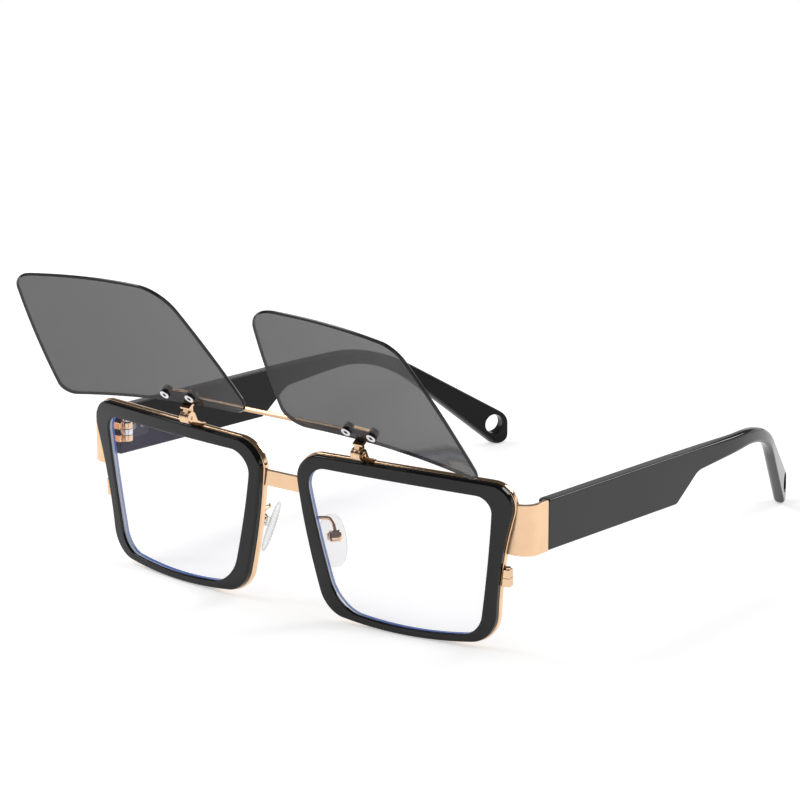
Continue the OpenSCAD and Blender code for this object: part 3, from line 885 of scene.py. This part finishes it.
class Assembly:
    """Pieces that stand for nodes of the frame and ride with them."""

    def node(self, name: str) -> str:
        """Gives the full name of a node or piece; an assembly of one side adds its side."""
        return name

    def keep(self, piece: bpy.types.Object, name: str, *finishes: Finish) -> bpy.types.Object:
        """Dresses a piece, puts it in its node's place and reports it.

        Args:
            piece: The finished mesh.
            name: The node that it stands for, without its side.
            finishes: Its material slots in order.

        Returns:
            The piece.
        """
        node = self.node(name)
        piece.data.materials.clear()
        for finish in finishes:
            piece.data.materials.append(finish.material())
        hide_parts(node)
        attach(piece, BODY_OF[node])
        LOG.info("%s: %d faces on %s", piece.name, len(piece.data.polygons), BODY_OF[node])
        return piece

    def soften(
        self,
        name: str,
        edge: float,
        finish: Finish,
        segments: int = 3,
        cutter: bpy.types.Object | None = None,
    ) -> bpy.types.Object:
        """Stands a softened copy in for a node.

        Args:
            name: The node, without its side.
            edge: The rounding of its edges.
            finish: Its surface.
            segments: Facets across the rounding.
            cutter: A shape to cut out of it.

        Returns:
            The piece.
        """
        node = self.node(name)
        piece = softened(node, f"soft_{node}", edge, segments)
        if cutter:
            cut_away(piece, cutter)
        polish(piece)
        return self.keep(piece, name, finish)


@dataclass
class Half(Assembly):
    """An assembly that each side of the glasses has one of. It is drawn on the left half."""

    side: Side

    def node(self, name: str) -> str:
        """Gives the full name of this side's node or piece."""
        return self.side.node(name)

    def placed(self, shape: bpy.types.Object) -> bpy.types.Object:
        """Puts a shape drawn on the left half on this side, with its faces outward.

        Args:
            shape: The shape, in metres under the drawing's origin.

        Returns:
            The same shape, under the part's own origin.
        """
        for vert in shape.data.vertices:
            vert.co = self.side.mirrored(vert.co / MM)
        turn_outward(shape)
        return shape

    def lay(self, flat: list[Vector], curve: Curve, depth: float) -> list[Vector]:
        """Lays flat places, across and up, on a curve at a depth behind its front, in metres."""
        return [self.side.mirrored(curve(p.x, p.y, depth)) for p in flat]

    def blank(self, name: str, sheet: Sheet) -> bpy.types.Object:
        """Builds a curved sheet with an eased edge.

        Args:
            name: The piece's name, without its side.
            sheet: Its shape.

        Returns:
            The object, not yet shaded or dressed.
        """
        inner, middle = sheet.outline.points(sheet.outward - sheet.ease), Vector(sheet.middle)
        faces = [[middle.lerp(p, share) for p in inner] for share in sheet.rings]
        edge, wall = sheet.outline.points(sheet.outward), (sheet.front + sheet.ease, sheet.back - sheet.ease)
        rows = [self.lay(face, sheet.curve, sheet.front) for face in faces]
        rows += [self.lay(edge, sheet.curve, depth) for depth in wall]
        rows += [self.lay(face, sheet.curve, sheet.back) for face in reversed(faces)]
        return skin(self.node(name), rows, closed=False)

    def keep_sheet(self, piece: bpy.types.Object, name: str, sheet: Sheet, *finishes: Finish) -> None:
        """Keeps a curved sheet and gives its edge its own finishes.

        Args:
            piece: The finished mesh.
            name: The node that it stands for, without its side.
            sheet: The shape that it was built from.
            finishes: Those of its faces, of its edge's wall and, if there are three, of the eased corners,
                which are otherwise as the wall is.
        """
        self.keep(piece, name, *finishes)
        flat_lean, wall_lean = 0.9, 0.35
        through = sheet.curve(*sheet.middle, sheet.back) - sheet.curve(*sheet.middle, sheet.front)
        axis = Vector((through.x * self.side.value, through.y, through.z)).normalized()
        for face in piece.data.polygons:
            lean = abs(face.normal.dot(axis))
            if lean < flat_lean:
                face.material_index = 1 if lean < wall_lean else len(finishes) - 1


@dataclass
class Rim(Half):
    """One side of the front: black ring, gold eyewire behind it, clear lens in it and the eyewire's joint."""

    ring_t: float = 1.6
    face_round: float = 0.6
    inner_round: float = 0.3
    ring_break: float = 0.15
    rebate_break: float = 0.1
    rebate_play: float = 0.03
    wire_t: float = 1.7
    wire_w: float = 1.4
    wire_show: float = 0.3
    wire_round: float = 0.3
    wire_back: float = 0.7
    lens_seat: float = 0.7
    lens_lap: float = 0.6
    lens_t: float = 1.6
    lens_ease: float = 0.4
    saw_up: float = 15.5
    saw_half: float = 0.03
    saw_across: Flat = (53.0, 64.0)
    saw_deep: float = 6.0

    def band(self, name: str, profile: list[tuple[Outline, float, float]]) -> bpy.types.Object:
        """Draws a closed band along the front.

        Args:
            name: The piece's name, without its side.
            profile: Its section: an outline, the offset outward from it and the depth, for each place.

        Returns:
            The object.
        """
        rows = [self.lay(outline.points(outward), FRONT.point, depth) for outline, outward, depth in profile]
        return skin(self.node(name), rows, closed=True)

    def ring(self) -> None:
        """Builds the black ring with its rounded front and the rebate for the lens."""
        turns, back, seat = quarter_turn(4), self.ring_t, self.lens_lap + self.rebate_play
        e, i, b, r = self.face_round, self.inner_round, self.ring_break, self.rebate_break
        profile = [(RIM, e * (math.sin(a) - 1), e * (1 - math.cos(a))) for a in turns]
        profile += [(RIM, 0, back - b), (RIM, -b, back), (OPENING, seat + r, back), (OPENING, seat, back - r)]
        profile += [(OPENING, seat, self.lens_seat), (OPENING, 0, self.lens_seat)]
        profile += [(OPENING, i * (1 - math.sin(a)), i * (1 - math.cos(a))) for a in reversed(turns)]
        piece = self.band("rounded_ring", profile)
        polish(piece)
        self.keep(piece, "front_ring", BLACK)

    def saw(self) -> bpy.types.Object:
        """Makes the thin cutter that parts the eyewire.

        Returns:
            The cutter, on this side.
        """
        up = (self.saw_up - self.saw_half, self.saw_up + self.saw_half)
        saw = block("saw", (0, 0, 0), (1, 1, 1), Matrix())
        for vert in saw.data.vertices:
            across, depth, height = (
                span[round(c / MM)] for span, c in zip((self.saw_across, (0.0, self.saw_deep), up), vert.co)
            )
            vert.co = self.side.mirrored(FRONT.point(across, height, depth))
        turn_outward(saw)
        return saw

    def eyewire(self) -> None:
        """Builds the gold wire behind the ring, sawn through where its block closes it."""
        turns, e, deep = quarter_turn(3), self.wire_round, self.wire_back
        low, high = self.ring_t, self.ring_t + self.wire_t
        out, inn = self.wire_show, self.wire_show - self.wire_w
        profile = [(RIM, out - e + e * math.sin(a), low + e - e * math.cos(a)) for a in turns]
        profile += [(RIM, out - e + e * math.cos(a), high - deep + deep * math.sin(a)) for a in turns]
        profile += [(RIM, inn + e - e * math.sin(a), high - e + e * math.cos(a)) for a in turns]
        profile += [(RIM, inn + e - e * math.cos(a), low + e - e * math.sin(a)) for a in turns]
        piece = self.band("rounded_eyewire", profile)
        cut_away(piece, self.saw())
        polish(piece)
        self.keep(piece, "eyewire", GOLD)

    def lens(self) -> None:
        """Builds the clear lens, curved as the front is, with painted light on its edge: a bright blue wall
        and deep blue corners.
        """
        rings, back = (0.1, 0.3, 0.5, 0.7, 0.85, 1), self.lens_seat + self.lens_t
        sizes = (self.lens_lap, self.lens_ease, self.lens_seat, back)
        sheet = Sheet(FRONT.point, OPENING, (32.5, 19.5), rings, *sizes)
        piece = self.blank("curved_clear_lens", sheet)
        polish(piece)
        self.keep_sheet(piece, "clear_lens", sheet, CLEAR, BLUE_EDGE, DEEP_BLUE)

    def build(self) -> None:
        """Builds every piece of the rim."""
        self.ring()
        self.eyewire()
        self.lens()
        self.soften("closing_block", 0.18, GOLD)
        self.soften("closing_screw", 0.08, GOLD)


@dataclass
class Corner(Half):
    """The bent endpiece and the three barrel hinge behind it."""

    hinge_x: float = 64.9
    hinge_y: float = 15.0
    hinge_mid: float = 32.25
    knuckle_h: float = 1.7
    half_width: float = 70.5
    plate_t: float = 1.2
    slot_inward: float = 1.0
    slot_forward: float = 4.0
    slot_back: float = 1.0
    leaf_free: float = 2.2

    def build(self) -> None:
        """Builds the endpiece, the barrels, the screw and the rivets."""
        self.soften("endpiece", 0.16, SATIN_GOLD, 4)
        self.lugs()
        self.soften("hinge_screw", 0.1, SILVER)
        leaf = self.soften("temple_hinge", 0.12, SILVER)
        leaf.data.materials.append(TEMPLE_BLACK.material())
        for face in leaf.data.polygons:
            if face.center.y > (self.hinge_y + self.leaf_free - MIDDLE_Y) * MM:
                face.material_index = 1
        self.soften("temple_rivets", 0.12, DARK_STEEL)

    def lugs(self) -> None:
        """Parts the endpiece's two barrels, so that each stands on its own lug."""
        low, high = self.hinge_mid - self.knuckle_h / 2, self.hinge_mid + self.knuckle_h / 2
        near = (self.hinge_x - self.slot_inward, self.hinge_y - self.slot_forward, low)
        far = (self.half_width - self.plate_t, self.hinge_y + self.slot_back, high)
        self.soften("endpiece_hinge", 0.15, GOLD, cutter=self.placed(block("slot", near, far, Matrix())))


@dataclass
class Temple(Half):
    """A black temple: broad at the hinge, stepped down to a slim bar, bent in and down behind the ear."""

    thickness: float = 3.2
    slack: float = 0.03
    rounding: float = 0.42
    tip_rounding: float = 1.15
    hinge_y: float = 15.0
    hinge_gap: float = 0.1
    line_x: float = 68.8
    close: float = math.radians(1.1)
    curve_y: float = 98.0
    curve_r: float = 82.0
    tip_turn: float = math.radians(25)
    top: float = 38.2
    fall: float = math.tan(math.radians(2.3))
    height: float = 12.9
    slim_height: float = 6.0
    step_y: float = 58.0
    step_run: float = 10.0
    reach: float = 143.4
    tip_fall: float = math.tan(math.radians(33.5))
    tip_top: float = 8.2
    tip_low_r: float = 2.6
    low_angle: float = math.radians(42)
    low_lift: float = 0.9
    radii: tuple[float, ...] = (0.8, 2, 7, 36, 2.6, 5.2, 48, 0.8)
    hole_r: float = 2.7
    hole_ease: float = 0.4
    hole_inward: float = 3.9
    hole_up: float = 6.2
    outline: list[Vector] = field(default_factory=list)

    def __post_init__(self) -> None:
        """Works out the side view."""
        start, end = self.hinge_y + self.hinge_gap, self.hinge_y + self.reach
        half = (math.pi / 2 - self.low_angle) / 2
        tip_low = self.tip_low_r - self.tip_low_r * math.sin(math.pi / 2 + half) / math.sin(half)
        bend_y = (self.top + self.fall * self.hinge_y - self.tip_top - self.tip_fall * end) / (
            self.fall - self.tip_fall
        )
        step_y = self.hinge_y + self.step_y
        slim_low = self.top - self.fall * (step_y + self.step_run - self.hinge_y) - self.slim_height
        low = slim_low + self.low_lift
        corners = [
            (start, self.top - self.height),
            (step_y, self.top - self.height - self.fall * self.step_y),
            (step_y + self.step_run, slim_low),
            (end - (low - tip_low) / math.tan(self.low_angle), low),
            (end, tip_low),
            (end, self.tip_top),
            (bend_y, self.top - self.fall * (bend_y - self.hinge_y)),
            (start, self.top),
        ]
        self.outline = rounded([Vector(c) for c in corners], self.radii, 16, 1)

    def x_at(self, y: float, beside: float) -> float:
        """Follows the centre line seen from above.

        Args:
            y: The place along the part.
            beside: The offset outward from the centre line.

        Returns:
            The x there.
        """
        start = Vector((self.line_x - math.tan(self.close) * (self.curve_y - self.hinge_y), self.curve_y))
        centre = start - self.curve_r * Vector((math.cos(self.close), math.sin(self.close)))
        radius = self.curve_r + beside
        turn = math.asin(max(-1.0, min(1.0, (y - centre.y) / radius)))
        if turn <= self.close:
            straight_y = y - beside * math.sin(self.close)
            inward = math.tan(self.close) * (straight_y - self.hinge_y)
            return self.line_x - inward + beside * math.cos(self.close)
        if turn <= self.tip_turn:
            return centre.x + radius * math.cos(turn)
        end = centre + radius * Vector((math.cos(self.tip_turn), math.sin(self.tip_turn)))
        return end.x - math.tan(self.tip_turn) * (y - end.y)

    def span_at(self, y: float) -> Flat:
        """Finds how low and how high the side view is at one place.

        Args:
            y: The place along the temple.

        Returns:
            The lowest and the highest place.
        """
        heights = []
        for i, b in enumerate(self.outline):
            a = self.outline[i - 1]
            if min(a.x, b.x) <= y <= max(a.x, b.x):
                share = 0.0 if a.x == b.x else (y - a.x) / (b.x - a.x)
                heights += [a.y + share * (b.y - a.y)] + ([b.y] if a.x == b.x else [])
        return min(heights), max(heights)

    def rounding_at(self, y: float) -> float:
        """Gives the edges' radius: crisp on the broad part and soft from the step to the tip.

        Args:
            y: The place along the temple.

        Returns:
            The radius.
        """
        past_step, blend = 4, 32
        share = min(1.0, max(0.0, (y - self.hinge_y - self.step_y - past_step) / blend))
        return self.rounding + (self.tip_rounding - self.rounding) * share * share * (3 - 2 * share)

    def section(self, y: float, inset: float) -> list[Vector]:
        """Draws the rounded cross section.

        Args:
            y: The place along the part.
            inset: How much smaller it is all round.

        Returns:
            Its places, in metres.
        """
        least_tall, least_round = 0.05, 0.04
        low, high = self.span_at(y)
        half, middle = self.thickness / 2 - self.slack - inset, (low + high) / 2
        tall = max(least_tall, (high - low) / 2 - inset)
        e = max(least_round, min(self.rounding_at(y) - inset * 0.6, tall * 0.9))
        ring = []
        for quarter, (sx, sz) in enumerate(((1, 1), (-1, 1), (-1, -1), (1, -1))):
            for k in range(6):
                a = math.radians(90 * quarter + 18 * k)
                ring.append((sx * (half - e) + e * math.cos(a), middle + sz * (tall - e) + e * math.sin(a)))
        return [self.side.mirrored(Vector((self.x_at(y, beside), y, z))) for beside, z in ring]

    def stations(self) -> list[Flat]:
        """Lists where the sections stand, closer together where the side view turns.

        Returns:
            The place along the temple and how far the section is drawn in, for each.
        """
        start, end = min(p.x for p in self.outline), max(p.x for p in self.outline)
        wanted = sorted([p.x for p in self.outline] + [start + 3.0 * k for k in range(48)])
        near, far, flatter = self.rounding, self.tip_rounding, 0.85
        least_gap, tip_gap, end_gap = 0.15, 0.05, 1e-4
        kept = [(start + near * (1 - math.cos(a)), near * (1 - math.sin(a))) for a in quarter_turn(6)]
        for y in wanted:
            if kept[-1][0] + least_gap < y < end - far - tip_gap:
                kept.append((y, 0.0))
        tip = [(end - end_gap - far * (1 - math.cos(a)), far * (1 - math.sin(a))) for a in quarter_turn(6)]
        return kept + [(y, inset * flatter) for y, inset in reversed(tip)]

    def drill(self) -> bpy.types.Object:
        """Makes the cutter for the hole through the tip, flared where it leaves the faces.

        Returns:
            The cutter, on this side.
        """
        hole_y = self.hinge_y + self.reach - self.hole_inward
        at = Matrix.Translation(Vector((self.x_at(hole_y, 0), hole_y, self.hole_up)))
        at = at @ Matrix.Rotation(self.tip_turn, 4, "Z") @ Matrix.Rotation(math.pi / 2, 4, "Y")
        half, r, e = self.thickness / 2, self.hole_r, self.hole_ease
        flare = [(r + e + 1, half + 1)]
        flare += [(r + e * (1 - math.sin(a)), half - e + e * math.cos(a)) for a in quarter_turn(5)]
        flare += [(radius, -along) for radius, along in reversed(flare)]
        return self.placed(drum("drill", flare, at, 72))

    def build(self) -> None:
        """Lofts the temple, drills the hole through its tip and gives its inner side a duller, darker black,
        which is painted shade.
        """
        rows = [self.section(y, inset) for y, inset in self.stations()]
        piece = skin(self.node("rounded_temple"), rows, closed=False)
        cut_away(piece, self.drill())
        polish(piece)
        self.keep(piece, "temple", TEMPLE_BLACK, SHADED_INNER_BLACK)
        # Faces turned inward take the darker black: painted shade.
        for face in piece.data.polygons:
            face.material_index = int(face.normal.x * self.side.value < -0.5)


@dataclass
class NosePad(Half):
    """A soft pad on a bent wire arm, with the box and screw that hold it."""

    centre: Place = (9.9, 7.2, 18.4)
    splay: float = math.radians(37)
    spread: float = math.radians(19)
    length: float = 13.6
    width: float = 7.3
    thickness: float = 1.9
    layers: tuple[float, ...] = (-0.98, -0.9, -0.75, -0.5, -0.2, 0.2, 0.5, 0.75, 0.9, 0.98)
    rim_power: float = 2.6
    drop_power: float = 2.3
    taper: float = 0.08
    shank_half: Flat = (0.8, 1.1)
    shank_past: float = 0.9
    pin_x: float = 2.5
    box_z: float = 1.0
    box_x: Flat = (1.4, 4.3)
    box_half: Flat = (1.8, 1.6)
    box_round: float = 1.25
    slot_half: float = 0.95
    slot_past: float = 1.2
    wire_r: float = 0.44
    root_up: float = 21.6
    root_depth: float = 3.3

    def at_pad(self) -> Matrix:
        """Gives the pad's own directions: x away from the nose, z along the pad."""
        turned = Matrix.Rotation(-self.splay, 4, "Z") @ Matrix.Rotation(-self.spread, 4, "Y")
        return Matrix.Translation(Vector(self.centre)) @ turned

    def pad(self) -> None:
        """Models the pad as a flattened drop with a soft rim and the shank that its screw goes through."""
        at, p, q, rows = self.at_pad(), self.rim_power, self.drop_power, []
        for share in self.layers:
            wide = (1 - abs(share) ** p) ** (1 / p)
            ring = []
            for a in full_turn(48):
                squared = (abs(math.cos(a)) ** q + abs(math.sin(a)) ** q) ** (-1 / q)
                y = self.width / 2 * wide * squared * math.cos(a) * (1 - self.taper * math.sin(a))
                z = self.length / 2 * wide * squared * math.sin(a)
                ring.append(self.side.mirrored(at @ Vector((share * self.thickness / 2, y, z))))
            rows.append(ring)
        piece = skin(self.node("soft_pad"), rows, closed=False)
        y, z = self.shank_half
        low, high = (0, -y, self.box_z - z), (self.pin_x + self.shank_past, y, self.box_z + z)
        cut_away(piece, self.placed(block("shank", low, high, at, 0.3)), "UNION")
        polish(piece, 50)
        self.keep(piece, "nose_pad", SILICONE)

    def arm_path(self) -> list[Vector]:
        """Lays the wire's line from the eyewire to the box, its bends eased.

        Returns:
            The line's places.
        """
        (low_x, _), (_, high) = RIM.corners[0], RIM.corners[3]
        across = low_x * (1 - self.root_up / high) - RIM.bows[2] - Rim.wire_show + Rim.wire_w / 2
        root = FRONT.point(across, self.root_up, self.root_depth)
        seat = self.at_pad() @ Vector((3.6, 0, self.box_z + 0.4))
        bends = ((0, -0.3, 0), (0, 2.2, 0), (2.4, 5.2, -0.4))
        stops = [root + Vector(bend) for bend in bends] + [seat]
        path, ease = [stops[0]], 0.45
        for before, stop, after in zip(stops, stops[1:], stops[2:]):
            into, out_of = stop.lerp(before, ease), stop.lerp(after, ease)
            path += [into.lerp(stop, t).lerp(stop.lerp(out_of, t), t) for t in (k / 8 for k in range(9))]
        return path + [seat]

    def arm(self) -> None:
        """Draws the wire along its line."""
        path, rows = self.arm_path(), []
        for i, spot in enumerate(path):
            along = (path[min(i + 1, len(path) - 1)] - path[max(i - 1, 0)]).normalized()
            across = along.cross(Vector((0, 0, 1))).normalized()
            up = across.cross(along)
            ring = [spot + self.wire_r * (math.cos(t) * across + math.sin(t) * up) for t in full_turn(20)]
            rows.append([self.side.mirrored(p) for p in ring])
        piece = skin(self.node("bent_pad_arm"), rows, closed=False)
        polish(piece)
        self.keep(piece, "pad_arm", GOLD)

    def box(self) -> None:
        """Models the small rounded box that the pad's shank sits in."""
        at, (near, far), (y, z) = self.at_pad(), self.box_x, self.box_half
        low, high = (near, -y, self.box_z - z), (far, y, self.box_z + z)
        piece = self.placed(block(self.node("rounded_pad_box"), low, high, at, self.box_round))
        y, end = self.slot_half, self.pin_x + self.slot_past
        slot = block("slot", (1, -y, self.box_z - 2), (end, y, self.box_z + 2), at)
        cut_away(piece, self.placed(slot))
        polish(piece, 40)
        self.keep(piece, "pad_box", GOLD)

    def build(self) -> None:
        """Builds the pad, its arm, box and screw."""
        self.pad()
        self.arm()
        self.box()
        self.soften("pad_screw", 0.08, SILVER)


@dataclass
class FlipHinge(Half):
    """One flip hinge: forked base on the eyewire, pin, and the carrier with its neck and plate."""

    def build(self) -> None:
        """Builds the base, pin and carrier."""
        self.soften("flip_base", 0.12, GOLD)
        self.soften("flip_pin", 0.08, PIN_GOLD)
        self.soften("flip_carrier", 0.1, GOLD)


@dataclass
class TintedLens(Half):
    """A smoke lens with its bushings, screws and nuts."""

    thickness: float = 1.0
    ease: float = 0.36
    screws: Flat = (24.95, 32.85)
    screw_up: float = 5.75
    bushing_r: float = 1.3
    drill_span: Flat = (-2.0, 8.0)

    def lens(self) -> None:
        """Builds the curved lens with its eased edge and drills it for the bushings."""
        rings = (0.08, 0.25, 0.45, 0.65, 0.82, 1)
        sheet = Sheet(FLIP.lens_point, TINT, (31.0, 21.0), rings, 0.0, self.ease, 0.0, self.thickness)
        piece = self.blank("curved_smoke_lens", sheet)
        for x in self.screws:
            at = Matrix.Translation(FLIP.point(x, 0, self.screw_up))
            at = at @ Matrix.Rotation(FLIP.lean - math.pi / 2, 4, "X")
            drill = drum("drill", [(self.bushing_r, along) for along in self.drill_span], at, 48)
            cut_away(piece, self.placed(drill))
        polish(piece)
        self.keep_sheet(piece, "tinted_lens", sheet, SMOKE, SMOKE_EDGE)

    def build(self) -> None:
        """Builds the lens and what holds it."""
        self.lens()
        self.soften("lens_bushings", 0.08, BLACK)
        self.soften("lens_nuts", 0.12, SILVER)
        # Painted shade: the screws are dark to stand in for the shaded recess of their heads.
        self.soften("lens_screws", 0.06, DARK_STEEL)


@dataclass
class Middle(Assembly):
    """What joins the two sides: the flat bridge and the thin bar between the flip's carriers."""

    bridge_round: float = 0.3
    bar_round: float = 0.2

    def build(self) -> None:
        """Builds the bridge and the bar."""
        self.soften("bridge", self.bridge_round, GOLD, 4)
        self.soften("flip_bar", self.bar_round, SATIN_GOLD, 4)


# The studio


@dataclass(frozen=True)
class Lamp:
    """A soft square lamp; its places and size are in metres."""

    name: str
    place: Place
    size: float
    watts: float
    aim: Place = (0, 0, 0.03)

    def build(self) -> None:
        """Hangs the lamp so that it faces the glasses."""
        data = bpy.data.lights.new(self.name, "AREA")
        data.size, data.energy = self.size, self.watts
        lamp = bpy.data.objects.new(self.name, data)
        lamp.location = self.place
        lamp.rotation_euler = (Vector(self.aim) - Vector(self.place)).to_track_quat("-Z", "Y").to_euler()
        bpy.context.scene.collection.objects.link(lamp)


@dataclass(frozen=True)
class Studio:
    """The camera, table, sky and lamps. Places and the camera's distance and clipping are in metres."""

    aim: Place = (0.005956, -0.023013, 0.047036)
    turn: float = math.radians(37.418)
    rise: float = math.radians(15.391)
    roll: float = math.radians(0.077)
    distance: float = 1.06303
    lens: float = 187.61
    sensor: float = 36.0
    clip: Flat = (0.05, 50.0)
    sky: float = 0.42
    shade: float = 0.92
    table_size: float = 1.3
    lamps: tuple[Lamp, ...] = (
        Lamp("key", (-0.6, -0.28, 0.78), 0.38, 2.9),
        Lamp("back_line", (0.28, 0.78, 0.58), 0.38, 2.5),
    )

    def back(self) -> Vector:
        """Gives the direction from the glasses to the photographer."""
        level = math.cos(self.rise)
        return Vector((math.sin(self.turn) * level, -math.cos(self.turn) * level, math.sin(self.rise)))

    def camera(self) -> None:
        """Sets the camera at the photograph's viewing angle."""
        back = self.back()
        right = Vector((math.cos(self.turn), math.sin(self.turn), 0))
        up = back.cross(right)
        c, s = math.cos(self.roll), math.sin(self.roll)
        right, up = c * right + s * up, -s * right + c * up
        data = bpy.data.cameras.new("photo_view")
        data.lens, data.sensor_width = self.lens, self.sensor
        data.clip_start, data.clip_end = self.clip
        camera = bpy.data.objects.new("photo_view", data)
        stand = Matrix((right, up, back)).transposed().to_4x4()
        stand.translation = Vector(self.aim) + back * self.distance
        camera.matrix_world = stand
        bpy.context.scene.collection.objects.link(camera)
        bpy.context.scene.camera = camera

    def world(self) -> None:
        """Makes the sky: white to the eye, and for mirrors a white band round the table under a dark room.

        It lights the object with a plain grey, and mirrors find it dark towards the camera as well.
        """
        world = bpy.data.worlds.new("studio_sky")
        bpy.context.scene.world = world
        recipe = Recipe(world)
        way = recipe.add("ShaderNodeTexCoord", None, out="Generated")
        near = recipe.add("ShaderNodeVectorMath", {"operation": "DOT_PRODUCT"}, way, self.back(), out="Value")
        height = recipe.add("ShaderNodeSeparateXYZ", None, way, out="Z")
        below, above = 1.0 - height.clamped(-0.06, 0.02), height.clamped(0.1, 0.3)
        dark = (near.clamped(0.45, 0.85) + below + above).clamped(0, 1) * self.shade
        white = recipe.white("ShaderNodeBackground", 1.0)
        room = recipe.add("ShaderNodeMixShader", None, recipe.ray("Is Glossy Ray") * dark, white)
        plain = recipe.white("ShaderNodeBackground", self.sky)
        both = recipe.add("ShaderNodeMixShader", None, recipe.seen(), plain, room)
        recipe.add("ShaderNodeOutputWorld", None, Surface=both)

    def table(self) -> None:
        """Lays the white table under the glasses."""
        deselect_all()
        bpy.ops.mesh.primitive_plane_add(size=self.table_size)
        table = bpy.context.active_object
        table.name = "table"
        table.data.materials.append(TABLE.material())

    def build(self) -> None:
        """Sets up all that isn't the object."""
        bpy.context.scene.view_settings.view_transform = "Standard"
        self.camera()
        self.world()
        self.table()
        for lamp in self.lamps:
            lamp.build()


def main() -> None:
    """Builds the studio and then the glasses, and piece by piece."""
    logging.basicConfig(level=logging.INFO, format="%(message)s")
    Studio().build()
    for side in Side:
        for kind in (Rim, Corner, Temple, NosePad, FlipHinge, TintedLens):
            kind(side).build()
    Middle().build()


if __name__ == "__main__":
    main()
